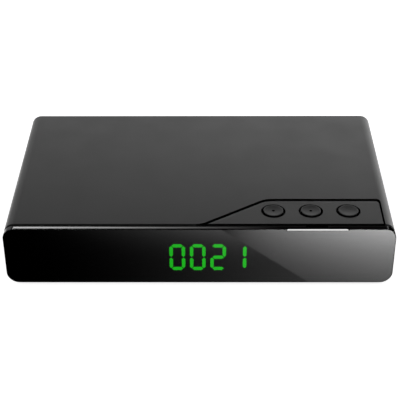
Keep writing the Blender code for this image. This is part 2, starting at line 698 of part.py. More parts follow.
def make_screw(name, at, axis, seat, reach):
    """A cross-head screw whose head stands away from the seat and whose shank reaches the other way."""
    way = math.copysign(1, seat - reach)
    head_top = seat + way * SCREW_HEAD_HEIGHT
    profile = [(0, reach), (SCREW_SHANK_RADIUS, reach), (SCREW_SHANK_RADIUS, seat)]
    profile += [(SCREW_HEAD_RADIUS, seat), (SCREW_HEAD_RADIUS, head_top), (0, head_top)]
    screw = turned(name, profile, at, axis, SMALL_SIDES, "screw_steel")
    half = SCREW_DRIVE_LINE / 2
    arm = SCREW_HEAD_RADIUS - SCREW_DRIVE_LINE
    cross = [(-half, -arm), (half, -arm), (half, -half), (arm, -half), (arm, half), (half, half)]
    cross += [(half, arm), (-half, arm), (-half, half), (-arm, half), (-arm, -half), (-half, -half)]
    spot = {"Z": (at[0], at[1]), "Y": (at[0], at[2])}[axis]
    outline = [(spot[0] + u, spot[1] + v) for u, v in cross]
    ends = (head_top - way * SCREW_DRIVE_DEPTH, head_top + way * OVERRUN)
    cut(screw, prism(f"{name}_drive", outline, *ends, axis))


def make_screws():
    case_seat = CASE_BOTTOM_Z + SCREW_SEAT_DEPTH - SLIP_GAP
    for i, (x, y) in enumerate(boss_places()):
        make_screw(f"case_screw_{i + 1}", (x, y, 0), "Z", case_seat, case_screw_top())
    for i, (x, y) in enumerate(board_post_places()):
        make_screw(f"board_screw_{i + 1}", (x, y, 0), "Z", BOARD_TOP_Z + SLIP_GAP, board_screw_low())
    seat = DISPLAY_BOARD_BACK_Y + SLIP_GAP
    for i, (x, z) in enumerate(display_post_places()):
        make_screw(f"display_screw_{i + 1}", (x, 0, z), "Y", seat, seat - BOARD_SCREW_LENGTH)


def light_outline(grow):
    """The mitred bar seen from above, grown by a clearance; it narrows towards the back."""
    slope = LIGHT_MITRE / LIGHT_DEPTH
    low = -OVERRUN if grow else 0
    high = LIGHT_DEPTH + grow
    front, back = (LIGHT_WIDTH / 2 + grow * (1 + slope) - slope * y for y in (low, high))
    x = LIGHT_CENTRE_X
    return [(x - front, low), (x + front, low), (x + back, high), (x - back, high)]


def guide_heights():
    """Bottom of the bar, bottom and top of the web behind it, and bottom and top of the foot."""
    bar_low = CASE_TOP_Z - LIGHT_DROP - LIGHT_HEIGHT
    web_low = bar_low + GUIDE_STEP
    foot_low = bar_low - GUIDE_LEG_HEIGHT
    return bar_low, web_low, web_low + GUIDE_WEB, foot_low, foot_low + GUIDE_FOOT_HEIGHT


def guide_foot_end():
    return DISPLAY_BOARD_Y - SLIP_GAP - STATUS_LED_DEPTH - FIT_GAP


def guide_side_outline(grow):
    """The web, leg and foot behind the bar, seen from the side, as (y, z)."""
    _, web_low, web_top, foot_low, foot_top = guide_heights()
    leg = WINDOW_POCKET_Y
    leg_back = leg + GUIDE_LEG_THICKNESS
    foot_end = guide_foot_end() + (OVERRUN if grow else 0)
    start = LIGHT_DEPTH - OVERLAP
    return [
        (start, web_low - grow),
        (leg - grow, web_low - grow),
        (leg - grow, foot_low - grow),
        (foot_end, foot_low - grow),
        (foot_end, foot_top + grow),
        (leg_back + grow, foot_top + grow),
        (leg_back + grow, web_top + grow),
        (start, web_top + grow),
    ]


def make_light_guide():
    bar_low, *_ = guide_heights()
    top = CASE_TOP_Z - LIGHT_DROP
    bar = prism("status_light_guide", light_outline(0), bar_low, top, "Z", "light_guide")
    side = guide_side_outline(0)
    x = about(LIGHT_CENTRE_X, GUIDE_FOOT_WIDTH)
    join(bar, prism("guide_leg", side, *x, "X"))


def make_guide_cutters(tag):
    """The space that the light guide takes, with its clearance."""
    bar_low, *_ = guide_heights()
    bar = prism(f"{tag}_bar_space", light_outline(SLIP_GAP), bar_low - SLIP_GAP, CASE_TOP_Z + OVERRUN, "Z")
    x = about(LIGHT_CENTRE_X, GUIDE_FOOT_WIDTH + 2 * SLIP_GAP)
    return bar, prism(f"{tag}_leg_space", guide_side_outline(SLIP_GAP), *x, "X")


def make_window():
    outline = case_outline(BEZEL_RIM)
    window = prism("front_window", outline, 0, WINDOW_THICKNESS, "Y", "smoked_window", smooth=True)
    cut(window, *make_guide_cutters("window"))


def display_face():
    """The (low, high) pairs of the display housing's face along X and Z."""
    width = DIGIT_PITCH * DIGIT_COUNT + 2 * DISPLAY_MARGIN_X
    height = DIGIT_HEIGHT + 2 * DISPLAY_MARGIN_Z
    return about(DISPLAY_CENTRE_X, width), about(DIGIT_MIDDLE_Z, height)


def grown(pair, by):
    return (pair[0] - by, pair[1] + by)


def infrared_box():
    """The (low, high) pairs of the infrared receiver along X and Z."""
    x, z = display_face()
    middle = x[1] + INFRARED_GAP_X
    return about(middle, INFRARED_WIDTH), about(sum(z) / 2, INFRARED_HEIGHT)


def make_bezel():
    whole = case_outline(0)
    bezel = prism("front_bezel", whole, BEZEL_SETBACK, BEZEL_BACK, "Y", "gloss_black", smooth=True)
    collar = case_outline(CASE_WALL + FIT_GAP)
    join(bezel, prism("bezel_collar", collar, BEZEL_BACK - OVERLAP, COLLAR_BACK_Y))
    hollow = case_outline(CASE_WALL + FIT_GAP + COLLAR_WALL)
    cut(bezel, prism("collar_hollow", hollow, BEZEL_BACK, COLLAR_BACK_Y + OVERRUN))
    pocket = case_outline(BEZEL_RIM - SLIP_GAP)
    cut(bezel, prism("window_pocket", pocket, -OVERRUN, WINDOW_POCKET_Y))
    through = (WINDOW_THICKNESS, COLLAR_BACK_Y + OVERRUN)
    x, z = display_face()
    cut(bezel, box("display_way", grown(x, FIT_GAP), through, grown(z, FIT_GAP)))
    x, z = infrared_box()
    cut(bezel, box("infrared_way", grown(x, FIT_GAP), through, grown(z, FIT_GAP)))
    cut(bezel, *make_guide_cutters("bezel"))
    end = DISPLAY_BOARD_Y - SLIP_GAP
    deep = DISPLAY_BOARD_BACK_Y + SLIP_GAP - BOARD_SCREW_LENGTH - FIT_GAP
    root = min(BEZEL_BACK, deep) - OVERLAP
    for i, (x, z) in enumerate(display_post_places()):
        join(bezel, post(f"display_post_{i}", DISPLAY_POST_RADIUS, root, end, deep, (x, 0, z), "Y"))


def make_button_plate():
    inset = -PLATE_JOINT / 2
    whole = plate_outline(inset, PLATE_FRONT_Y, inset)
    plate = prism("button_plate", whole, FLANGE_TOP_Z - OVERLAP, PLATE_TOP_Z, "Z", "case_black", smooth=True)
    reach = PLATE_JOINT / 2 + PLATE_FLANGE_REACH
    flange = plate_outline(reach, PLATE_FRONT_Y + OVERLAP, inset - OVERLAP)
    join(plate, prism("plate_flange", flange, FLANGE_BOTTOM_Z, FLANGE_TOP_Z, "Z"))
    # The plate thins to the cover's wall where it passes over the bezel's collar.
    ahead = (COVER_FRONT_Y - OVERRUN, BEHIND_COLLAR_Y)
    across = (-HALF_WIDTH, HALF_WIDTH)
    cut(plate, box("collar_step", across, ahead, (FLANGE_BOTTOM_Z - OVERRUN, ROOF_Z)))
    for i, x in enumerate(button_centres()):
        low = FLANGE_BOTTOM_Z - OVERRUN
        at = (x, BUTTON_Y, 0)
        cut(plate, rod(f"button_well_{i}", WELL_RADIUS, low, CASE_TOP_Z + OVERRUN, at, sides=FINE_SIDES))
    shoulder = KEY_BOARD_TOP_Z + SLIP_GAP
    pin_low = KEY_BOARD_BOTTOM_Z - KEY_PIN_PROUD
    root = FLANGE_BOTTOM_Z + OVERLAP
    profile = [(0, pin_low), (KEY_PIN_RADIUS, pin_low), (KEY_PIN_RADIUS, shoulder)]
    profile += [(KEY_POST_RADIUS, shoulder), (KEY_POST_RADIUS, root), (0, root)]
    for i, x in enumerate(post_centres()):
        join(plate, turned(f"key_post_{i}", profile, (x, BUTTON_Y, 0), sides=SMALL_SIDES))


def button_profile():
    flange = WELL_RADIUS + BUTTON_FLANGE_REACH
    shoulder = BUTTON_TOP_Z - BUTTON_EDGE
    dish = BUTTON_RADIUS - BUTTON_EDGE
    profile = [
        (0, BUTTON_STEM_Z),
        (BUTTON_STEM_RADIUS, BUTTON_STEM_Z),
        (BUTTON_STEM_RADIUS, BUTTON_FLANGE_BOTTOM_Z),
        (flange, BUTTON_FLANGE_BOTTOM_Z),
        (flange, BUTTON_FLANGE_TOP_Z),
        (BUTTON_RADIUS, BUTTON_FLANGE_TOP_Z),
    ]
    profile += arc((dish, shoulder), BUTTON_EDGE, 0, math.pi / 2, 2 * ARC_STEP)
    # The face is dished like a shallow bowl, deepest in the middle.
    profile += [(dish * share, BUTTON_TOP_Z - BUTTON_DISH * (1 - share**2)) for share in BUTTON_RING_SHARES]
    return profile


def make_mark(cap, x, arms):
    """A small raised mark on a button's face: one bar, or two crossed bars."""
    low = BUTTON_TOP_Z - 2 * BUTTON_DISH
    high = BUTTON_TOP_Z - BUTTON_DISH + BUTTON_MARK_HEIGHT
    for i in range(arms):
        size = (BUTTON_MARK_WIDTH, BUTTON_MARK_LINE)
        spread = about(x, size[i])
        depth = about(BUTTON_Y, size[1 - i])
        join(cap, box(f"{cap.name}_mark_{i}", spread, depth, (low, high)))


def make_buttons():
    names = ("button_channel_down", "button_channel_up", "button_standby")
    for name, x, arms in zip(names, button_centres(), (1, 2, 0)):
        cap = turned(name, button_profile(), (x, BUTTON_Y, 0), sides=FINE_SIDES, material="button_black")
        make_mark(cap, x, arms)


def make_switches():
    for i, x in enumerate(button_centres()):
        spread = about(x, SWITCH_WIDTH)
        depth = about(BUTTON_Y, SWITCH_WIDTH)
        at = (x, BUTTON_Y, 0)
        body = box(f"key_switch_{i + 1}", spread, depth, (SWITCH_BOTTOM_Z, SWITCH_TOP_Z), "socket_black")
        low = SWITCH_TOP_Z - PLUNGER_SEAT
        well_low = low - SWITCH_TRAVEL - FIT_GAP
        well = rod(f"switch_well_{i}", PLUNGER_RADIUS + SLIP_GAP, well_low, SWITCH_TOP_Z + OVERRUN, at)
        cut(body, well)
        rod(f"key_plunger_{i + 1}", PLUNGER_RADIUS, low, PLUNGER_TOP_Z, at, material="socket_black")


def make_key_board():
    first, *_, last = button_centres()
    x = (first - KEY_BOARD_MARGIN, last + KEY_BOARD_MARGIN)
    y = about(BUTTON_Y, KEY_BOARD_DEPTH)
    board = box("key_board", x, y, (KEY_BOARD_BOTTOM_Z, KEY_BOARD_TOP_Z), "board_green")
    ends = (KEY_BOARD_BOTTOM_Z - OVERRUN, KEY_BOARD_TOP_Z + OVERRUN)
    for i, centre in enumerate(post_centres()):
        at = (centre, BUTTON_Y, 0)
        cut(board, rod(f"key_pin_way_{i}", KEY_PIN_RADIUS + SLIP_GAP, *ends, at, sides=SMALL_SIDES))


def bar_outline(middle, length, width, upright, grow):
    """A display segment: a bar with pointed ends, grown by a clearance."""
    half = width / 2 + grow
    tip = length / 2 + grow * math.sqrt(2)
    flat = tip - half
    points = [(-tip, 0), (-flat, -half), (flat, -half), (tip, 0), (flat, half), (-flat, half)]
    if upright:
        points = [(-v, u) for u, v in points]
    return [(middle[0] + u, middle[1] + v) for u, v in points]


def digit_segments(x, grow):
    """The seven segments of one digit as (x, z) outlines, grown by a clearance."""
    low, high = about(DIGIT_MIDDLE_Z, DIGIT_HEIGHT - LEVEL_BAR)
    middle = DIGIT_MIDDLE_Z
    spread = DIGIT_SPREAD / 2
    level = DIGIT_SPREAD - BAR_SPACE
    upright = (high - low) / 2 - BAR_SPACE
    segments = [bar_outline((x, z), level, LEVEL_BAR, False, grow) for z in (low, middle, high)]
    for side in (-spread, spread):
        for z in ((low + middle) / 2, (middle + high) / 2):
            segments.append(bar_outline((x + side, z), upright, UPRIGHT_BAR, True, grow))
    return segments


def digit_centres():
    return [DISPLAY_CENTRE_X + DIGIT_PITCH * (i - (DIGIT_COUNT - 1) / 2) for i in range(DIGIT_COUNT)]


def slab_space():
    """Where the digits' slabs lie in the housing: their (low, high) pairs along Y and Z."""
    back = DISPLAY_BACK_Y - FIT_GAP
    return (back - DIGIT_SLAB, back), about(DIGIT_MIDDLE_Z, DIGIT_HEIGHT + DISPLAY_MARGIN_Z)


def make_display():
    x, z = display_face()
    housing = box("display_housing", x, (DISPLAY_FACE_Y, DISPLAY_BACK_Y), z, "reflector_grey")
    slab_y, slab_z = slab_space()
    wide = about(DISPLAY_CENTRE_X, DIGIT_PITCH * DIGIT_COUNT)
    recess_y = (slab_y[0] - FIT_GAP, DISPLAY_BACK_Y + OVERRUN)
    cut(housing, box("slab_recess", grown(wide, SLIP_GAP), recess_y, grown(slab_z, SLIP_GAP)))
    slots = [outline for centre in digit_centres() for outline in digit_segments(centre, BAR_CLEARANCE)]
    cut(housing, prisms("segment_slots", slots, DISPLAY_FACE_Y - OVERRUN, recess_y[0] + OVERRUN))
    for i, centre in enumerate(digit_centres()):
        width = about(centre, DIGIT_PITCH - FIT_GAP)
        digit = box(f"display_digit_{i + 1}", width, slab_y, slab_z, "segment_green")
        bars = digit_segments(centre, 0)
        join(digit, prisms(f"digit_bars_{i}", bars, DISPLAY_FACE_Y, slab_y[0] + OVERLAP))


def make_display_board():
    x = (DISPLAY_BOARD_LEFT_X, DISPLAY_BOARD_RIGHT_X)
    y = (DISPLAY_BOARD_Y, DISPLAY_BOARD_BACK_Y)
    board = box("display_board", x, y, (display_board_low(), display_board_high()), "board_green")
    ends = (DISPLAY_BOARD_Y - OVERRUN, DISPLAY_BOARD_BACK_Y + OVERRUN)
    for i, (post_x, z) in enumerate(display_post_places()):
        at = (post_x, 0, z)
        cut(board, rod(f"display_screw_way_{i}", PILOT_RADIUS, *ends, at, "Y", SMALL_SIDES))
    x, z = infrared_box()
    back = DISPLAY_BOARD_Y - SLIP_GAP
    front = back - INFRARED_DEPTH
    receiver = box("infrared_receiver", x, (front, back), z, "chip_black")
    lens = [(0, front + OVERLAP), (INFRARED_LENS_RADIUS, front + OVERLAP), (INFRARED_LENS_RADIUS, front)]
    dome = arc((0, 0), 1, 0, -math.pi / 2, 2 * ARC_STEP)
    lens += [(u * INFRARED_LENS_RADIUS, front + v * INFRARED_LENS_DEPTH) for u, v in dome[1:-1]]
    lens.append((0, front - INFRARED_LENS_DEPTH))
    join(receiver, turned("infrared_lens", lens, (sum(x) / 2, 0, sum(z) / 2), "Y"))
    *_, foot_low, foot_top = guide_heights()
    led_x = about(LIGHT_CENTRE_X, STATUS_LED_WIDTH)
    led_z = about((foot_low + foot_top) / 2, STATUS_LED_HEIGHT)
    box("status_led", led_x, (back - STATUS_LED_DEPTH, back), led_z, "light_guide")


def socket_row():
    """The X of each socket along the rear edge, spread evenly over the board's width."""
    widths = {
        "tuner": TUNER_WIDTH,
        "hdmi": HDMI_WIDTH,
        "scart": SCART_WIDTH,
        "audio": AUDIO_WIDTH,
        "usb": USB_WIDTH,
        "power": POWER_WIDTH,
    }
    room = 2 * (BOARD_HALF_WIDTH - SOCKET_EDGE_GAP)
    spacing = (room - sum(widths.values())) / (len(widths) - 1)
    centres = {}
    left = -room / 2
    for name, width in widths.items():
        centres[name] = left + width / 2
        left += width + spacing
    return centres


def socket_depth(depth):
    """The (low, high) pair along Y of a socket whose face stands a little proud of the rear panel."""
    back = PANEL_BACK_Y + SOCKET_PROUD
    return (back - depth, back)


def aerial_places():
    x = socket_row()["tuner"]
    z = ON_BOARD_Z + TUNER_HEIGHT / 2
    return [(x + side * AERIAL_PITCH / 2, z) for side in (-1, 1)]


def make_tuner():
    x = about(socket_row()["tuner"], TUNER_WIDTH)
    outline = rectangle(*x, TUNER_BACK_Y - TUNER_DEPTH, TUNER_BACK_Y)
    outline = filleted(outline, [TUNER_EDGE] * len(outline))
    prism("tuner_can", outline, ON_BOARD_Z, ON_BOARD_Z + TUNER_HEIGHT, "Z", "tin_plate", smooth=True)
    start = TUNER_BACK_Y + SLIP_GAP
    end = start + AERIAL_LENGTH
    floor = end - AERIAL_BORE_DEPTH
    hole = floor - AERIAL_PIN_HOLE_DEPTH
    profile = [(0, start), (AERIAL_RADIUS, start), (AERIAL_RADIUS, end), (AERIAL_BORE_RADIUS, end)]
    profile += [(AERIAL_BORE_RADIUS, floor), (AERIAL_PIN_HOLE_RADIUS, floor)]
    profile += [(AERIAL_PIN_HOLE_RADIUS, hole), (0, hole)]
    nut_start = PANEL_BACK_Y + SLIP_GAP
    nut_end = nut_start + AERIAL_NUT_THICKNESS
    for name, (x, z) in zip(("aerial_in", "aerial_out"), aerial_places()):
        turned(f"{name}_connector", profile, (x, 0, z), "Y", material="nickel")
        nut = rod(f"{name}_nut", AERIAL_NUT_RADIUS, nut_start, nut_end, (x, 0, z), "Y", 6, "nickel")
        bore = (nut_start - OVERRUN, nut_end + OVERRUN)
        cut(nut, rod(f"{name}_nut_bore", AERIAL_RADIUS + SLIP_GAP, *bore, (x, 0, z), "Y"))


def hdmi_outline(grow):
    """The HDMI shell seen from behind: its two lower corners are cut off."""
    half = HDMI_WIDTH / 2 + grow
    low = ON_BOARD_Z - grow
    high = ON_BOARD_Z + HDMI_HEIGHT + grow
    cut_off = HDMI_CHAMFER
    x = socket_row()["hdmi"]
    return [
        (x - half + cut_off, low),
        (x + half - cut_off, low),
        (x + half, low + cut_off),
        (x + half, high),
        (x - half, high),
        (x - half, low + cut_off),
    ]


def make_hdmi():
    y = socket_depth(HDMI_DEPTH)
    shell = prism("hdmi_socket", hdmi_outline(0), *y, "Y", "nickel")
    cut(shell, prism("hdmi_mouth", hdmi_outline(-HDMI_WALL), y[0] + HDMI_WALL, y[1] + OVERRUN))
    tongue = (y[0] + HDMI_WALL - OVERLAP, y[1] - TONGUE_DROP)
    z = about(ON_BOARD_Z + HDMI_HEIGHT * HDMI_TONGUE_RISE_SHARE, HDMI_TONGUE_THICKNESS)
    join(shell, box("hdmi_tongue", about(socket_row()["hdmi"], HDMI_TONGUE_WIDTH), tongue, z))


def scart_outline(grow):
    """The SCART socket's face: an oblong with one slanted end."""
    half = SCART_WIDTH / 2 + grow
    low = ON_BOARD_Z - grow
    high = ON_BOARD_Z + SCART_HEIGHT + grow
    x = socket_row()["scart"]
    return [(x - half, low), (x + half, low), (x + half - SCART_SLANT, high), (x - half, high)]


def make_scart():
    y = socket_depth(SCART_DEPTH)
    shell = prism("scart_socket", scart_outline(0), *y, "Y", "socket_black")
    floor = y[1] - SCART_RECESS
    cut(shell, prism("scart_mouth", scart_outline(-SCART_WALL), floor, y[1] + OVERRUN))
    core = scart_outline(-SCART_WALL - SCART_CORE_GAP)
    join(shell, prism("scart_core", core, floor - OVERLAP, y[1] - SCART_CORE_DROP))


def make_audio_socket():
    x = socket_row()["audio"]
    back = PANEL_FRONT_Y - FIT_GAP
    z = (ON_BOARD_Z, ON_BOARD_Z + AUDIO_HEIGHT)
    y = (back - AUDIO_DEPTH, back)
    socket = box("digital_audio_socket", about(x, AUDIO_WIDTH), y, z, "audio_orange")
    end = PANEL_BACK_Y + AUDIO_BARREL_LENGTH
    at = (x, 0, sum(z) / 2)
    join(socket, rod("audio_barrel", AUDIO_BARREL_RADIUS, back - OVERLAP, end, at, "Y"))
    cut(socket, rod("audio_bore", AUDIO_BORE_RADIUS, back, end + OVERRUN, at, "Y", SMALL_SIDES))


def usb_outline(grow):
    x = about(socket_row()["usb"], USB_WIDTH)
    return rectangle(*grown(x, grow), *grown((ON_BOARD_Z, ON_BOARD_Z + USB_HEIGHT), grow))


def make_usb_socket():
    y = socket_depth(USB_DEPTH)
    shell = prism("usb_socket", usb_outline(0), *y, "Y", "nickel")
    cut(shell, prism("usb_mouth", usb_outline(-USB_WALL), y[0] + USB_WALL, y[1] + OVERRUN))
    inner = about(socket_row()["usb"], USB_WIDTH - 2 * (USB_WALL + USB_TONGUE_SIDE))
    top = ON_BOARD_Z + USB_HEIGHT - USB_WALL - USB_TONGUE_SIDE
    tongue = (y[0] + USB_WALL - OVERLAP, y[1] - TONGUE_DROP)
    join(shell, box("usb_tongue", inner, tongue, (top - USB_TONGUE_THICKNESS, top)))


def power_outline(grow):
    x = about(socket_row()["power"], POWER_WIDTH)
    return rectangle(*grown(x, grow), *grown((ON_BOARD_Z, ON_BOARD_Z + POWER_HEIGHT), grow))


def make_power_jack():
    y = socket_depth(POWER_DEPTH)
    jack = prism("power_jack", power_outline(0), *y, "Y", "socket_black")
    at = (socket_row()["power"], 0, ON_BOARD_Z + POWER_HEIGHT / 2)
    floor = y[1] - POWER_BORE_DEPTH
    cut(jack, rod("power_bore", POWER_BORE_RADIUS, floor, y[1] + OVERRUN, at, "Y"))
    pin_end = y[1] - POWER_PIN_DROP
    join(jack, rod("power_pin", POWER_PIN_RADIUS, floor - OVERLAP, pin_end, at, "Y", SMALL_SIDES))


def make_rear_panel():
    outline = case_outline(CASE_WALL + FIT_GAP)
    panel = prism("rear_panel", outline, PANEL_FRONT_Y, PANEL_BACK_Y, "Y", "panel_black", smooth=True)
    ends = (PANEL_FRONT_Y - OVERRUN, PANEL_BACK_Y + OVERRUN)
    for i, (x, z) in enumerate(aerial_places()):
        cut(panel, rod(f"aerial_way_{i}", AERIAL_RADIUS + FIT_GAP, *ends, (x, 0, z), "Y"))
    audio = (socket_row()["audio"], 0, ON_BOARD_Z + AUDIO_HEIGHT / 2)
    cut(panel, rod("audio_way", AUDIO_BARREL_RADIUS + FIT_GAP, *ends, audio, "Y"))
    ways = {"hdmi": hdmi_outline, "scart": scart_outline, "usb": usb_outline, "power": power_outline}
    for name, outline in ways.items():
        cut(panel, prism(f"{name}_way", outline(FIT_GAP), *ends))


def make_main_board():
    x = (-BOARD_HALF_WIDTH, BOARD_HALF_WIDTH)
    y = (BOARD_FRONT_Y, BOARD_BACK_Y)
    board = box("main_board", x, y, (BOARD_BOTTOM_Z, BOARD_TOP_Z), "board_green")
    ends = (BOARD_BOTTOM_Z - OVERRUN, BOARD_TOP_Z + OVERRUN)
    for i, (post_x, y) in enumerate(board_post_places()):
        cut(board, rod(f"board_screw_way_{i}", PILOT_RADIUS, *ends, (post_x, y, 0), sides=SMALL_SIDES))


def make_decoder():
    chip_top = ON_BOARD_Z + CHIP_HEIGHT
    y = about(CHIP_CENTRE_Y, CHIP_WIDTH)
    box("decoder_chip", about(0, CHIP_WIDTH), y, (ON_BOARD_Z, chip_top), "chip_black")
    low = chip_top + SLIP_GAP
    base = low + SINK_BASE
    half = SINK_WIDTH / 2
    pitch = (SINK_WIDTH - SINK_FIN_THICKNESS) / (SINK_FIN_COUNT - 1)
    section = [(-half, low), (half, low)]
    for i in reversed(range(SINK_FIN_COUNT)):
        left = -half + pitch * i
        right = left + SINK_FIN_THICKNESS
        top = base + SINK_FIN_HEIGHT
        fin = [(right, base), (right, top), (left, top), (left, base)]
        section += fin[1:] if i == SINK_FIN_COUNT - 1 else fin
    section.pop()
    prism("heat_sink", section, *about(CHIP_CENTRE_Y, SINK_WIDTH), "Y", "aluminium")
    memory_x = (half + MEMORY_GAP, half + MEMORY_GAP + MEMORY_WIDTH)
    memory_z = (ON_BOARD_Z, ON_BOARD_Z + MEMORY_HEIGHT)
    box("memory_chip", memory_x, about(CHIP_CENTRE_Y, MEMORY_DEPTH), memory_z, "chip_black")


def make_power_parts():
    top = ON_BOARD_Z + CAPACITOR_HEIGHT
    side = top - CAPACITOR_EDGE
    profile = [(0, ON_BOARD_Z), (CAPACITOR_RADIUS, ON_BOARD_Z), (CAPACITOR_RADIUS, side)]
    profile += [(CAPACITOR_RADIUS - CAPACITOR_EDGE, top), (0, top)]
    for i in range(CAPACITOR_COUNT):
        at = (CAPACITOR_LAST_X - CAPACITOR_PITCH * i, CAPACITOR_Y, 0)
        turned(f"capacitor_{i + 1}", profile, at, material="tin_plate")
    x = about(CAPACITOR_LAST_X - CAPACITOR_PITCH, INDUCTOR_WIDTH)
    outline = rectangle(*x, *about(CAPACITOR_Y - INDUCTOR_REACH, INDUCTOR_WIDTH))
    outline = filleted(outline, [INDUCTOR_CORNER] * len(outline))
    ends = (ON_BOARD_Z, ON_BOARD_Z + INDUCTOR_HEIGHT)
    prism("power_inductor", outline, *ends, "Z", "ferrite_grey", smooth=True)


def ribbon_outline(*points):
    """A flat cable seen from the side, as (y, z): a curve drawn by its two ends and two points between."""
    start, first, second, end = (Vector(point) for point in points)
    steps = math.ceil(math.pi / ARC_STEP)
    upper, lower = [], []
    for i in range(steps + 1):
        t = i / steps
        s = 1 - t
        middle = start * s**3 + first * 3 * s * s * t + second * 3 * s * t * t + end * t**3
        heading = (first - start) * s * s + (second - first) * 2 * s * t + (end - second) * t * t
        heading.normalize()
        side = Vector((-heading.y, heading.x)) * RIBBON_THICKNESS / 2
        upper.append(tuple(middle + side))
        lower.append(tuple(middle - side))
    return upper + lower[::-1]


def make_ribbons():
    landing = BOARD_FRONT_Y + RIBBON_LANDING
    back = DISPLAY_BOARD_BACK_Y + SLIP_GAP
    high = FLOOR_Z + DISPLAY_RIBBON_HEIGHT
    outline = ribbon_outline((back, high), (landing, high), (landing, high), (landing, ON_BOARD_Z))
    x = about(DISPLAY_CENTRE_X, DISPLAY_RIBBON_WIDTH)
    prism("display_ribbon", outline, *x, "X", "ribbon_grey", smooth=True)
    first, *_, last = button_centres()
    front = BUTTON_Y + KEY_RIBBON_FRONT
    high = KEY_BOARD_BOTTOM_Z - SLIP_GAP
    middle = (high + ON_BOARD_Z) / 2
    outline = ribbon_outline((front, high), (front, middle), (landing, middle), (landing, ON_BOARD_Z))
    x = about((first + last) / 2, KEY_RIBBON_WIDTH)
    prism("key_ribbon", outline, *x, "X", "ribbon_grey", smooth=True)


def main():
    for old in list(bpy.data.objects):
        bpy.data.objects.remove(old)
    carrier = bpy.data.objects.new("receiver", None)
    carrier.location.y = -WHOLE_DEPTH / 2
    bpy.context.scene.collection.objects.link(carrier)
    make_top_cover()
    make_bottom_shell()
    make_feet()
    make_bezel()
    make_window()
    make_light_guide()
    make_button_plate()
    make_buttons()
    make_switches()
    make_key_board()
    make_display()
    make_display_board()
    make_main_board()
    make_tuner()
    make_hdmi()
    make_scart()
    make_audio_socket()
    make_usb_socket()
    make_power_jack()
    make_rear_panel()
    make_decoder()
    make_power_parts()
    make_ribbons()
    make_screws()


main()
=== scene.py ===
"""Looks for a compact satellite TV receiver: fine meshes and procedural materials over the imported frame.

Shapes are written in millimetres, with Y measured from the front of the window; placing them turns
this into the row frame, in metres.
"""

import math

import bmesh
import bpy
from mathutils import Matrix, Vector


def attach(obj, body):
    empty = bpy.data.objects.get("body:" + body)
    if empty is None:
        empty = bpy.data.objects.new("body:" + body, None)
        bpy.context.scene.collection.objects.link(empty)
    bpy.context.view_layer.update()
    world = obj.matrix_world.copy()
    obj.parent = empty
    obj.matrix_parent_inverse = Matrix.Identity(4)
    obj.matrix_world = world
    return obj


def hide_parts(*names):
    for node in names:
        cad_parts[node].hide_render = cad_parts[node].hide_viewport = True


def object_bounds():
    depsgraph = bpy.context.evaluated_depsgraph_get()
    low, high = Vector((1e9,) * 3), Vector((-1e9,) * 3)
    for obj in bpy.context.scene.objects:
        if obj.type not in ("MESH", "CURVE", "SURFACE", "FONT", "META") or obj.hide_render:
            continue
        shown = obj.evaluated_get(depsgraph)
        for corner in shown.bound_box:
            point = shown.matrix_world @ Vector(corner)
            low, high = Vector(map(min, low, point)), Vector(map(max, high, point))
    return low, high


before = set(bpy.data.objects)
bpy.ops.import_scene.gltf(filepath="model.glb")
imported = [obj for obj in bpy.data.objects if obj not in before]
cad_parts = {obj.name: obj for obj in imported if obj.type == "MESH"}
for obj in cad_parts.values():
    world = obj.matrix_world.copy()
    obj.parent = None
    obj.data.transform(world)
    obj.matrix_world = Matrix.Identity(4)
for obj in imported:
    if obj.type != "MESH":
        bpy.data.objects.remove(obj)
CAD_BOX = [list(corner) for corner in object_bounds()]

MM = 0.001
FRONT_Y = CAD_BOX[0][1]

# Gaps and overlaps, in millimetres
TINY = 0.02
FIT = 0.3
SLIP = 0.2
OVER = 1.0
LAP = 0.4

# Sizes of the case, in millimetres
WIDTH = 220.0
DEPTH = 130.8
HEIGHT = 36.9
WALL = 2.0
TOP_RADIUS = 6.3
BOTTOM_RADIUS = 7.2
LOW = 2.5
HIGH = LOW + HEIGHT
FLOOR = LOW + WALL
ROOF = HIGH - WALL
PARTING = LOW + 12.0
LIP = 1.0
LIP_HEIGHT = 1.6
BEZEL_STEP = 3.6
BEZEL_BACK = 4.3
COVER_FRONT = 5.6
COLLAR_BACK = 9.0
WINDOW_BACK = 2.0
PANEL = (127.8, 129.3)

# How finely round shapes are drawn
ARC_STEP = math.radians(5)
COARSE_STEP = 3 * ARC_STEP
SIDES = 72
FINE_SIDES = 96
ROUND_SIDES = 48
SMALL_SIDES = 24

# The pilot hole of every screw post
PILOT_RADIUS = 1.4

# The button plate, along the middle of the joint round it
TIP = Vector((2.2, COVER_FRONT))
SHOULDER_X = 38.2
PLATE_BACK = 30.75
PLATE_RIGHT = 103.65
JOINT = 1.1
PLATE_FRONT = COVER_FRONT + 0.9
PLATE_TOP = HIGH - 0.5
FLANGE_TOP = ROOF - FIT
FLANGE_LOW = FLANGE_TOP - 1.2
BUTTON_Y = 19.3
BUTTON_X = (42.15, 63.5, 84.85)
BUTTON_RADIUS = 5.75
WELL_RADIUS = 6.95
BUTTON_TOP = PLATE_TOP + 0.5

# The middles of the digits, and the top of the main board
DIGIT_X = (-12.455, -0.885, 10.685, 22.255)
DIGIT_Z = LOW + HEIGHT / 2 - 1.74
ON_BOARD = 10.5


# ---------------------------------------------------------------- shapes
def placed(axis, across, up, along):
    """A point from its place in a section and its place along the axis."""
    return {
        "X": Vector((along, across, up)),
        "Y": Vector((across, along, up)),
        "Z": Vector((across, up, along)),
    }[axis]


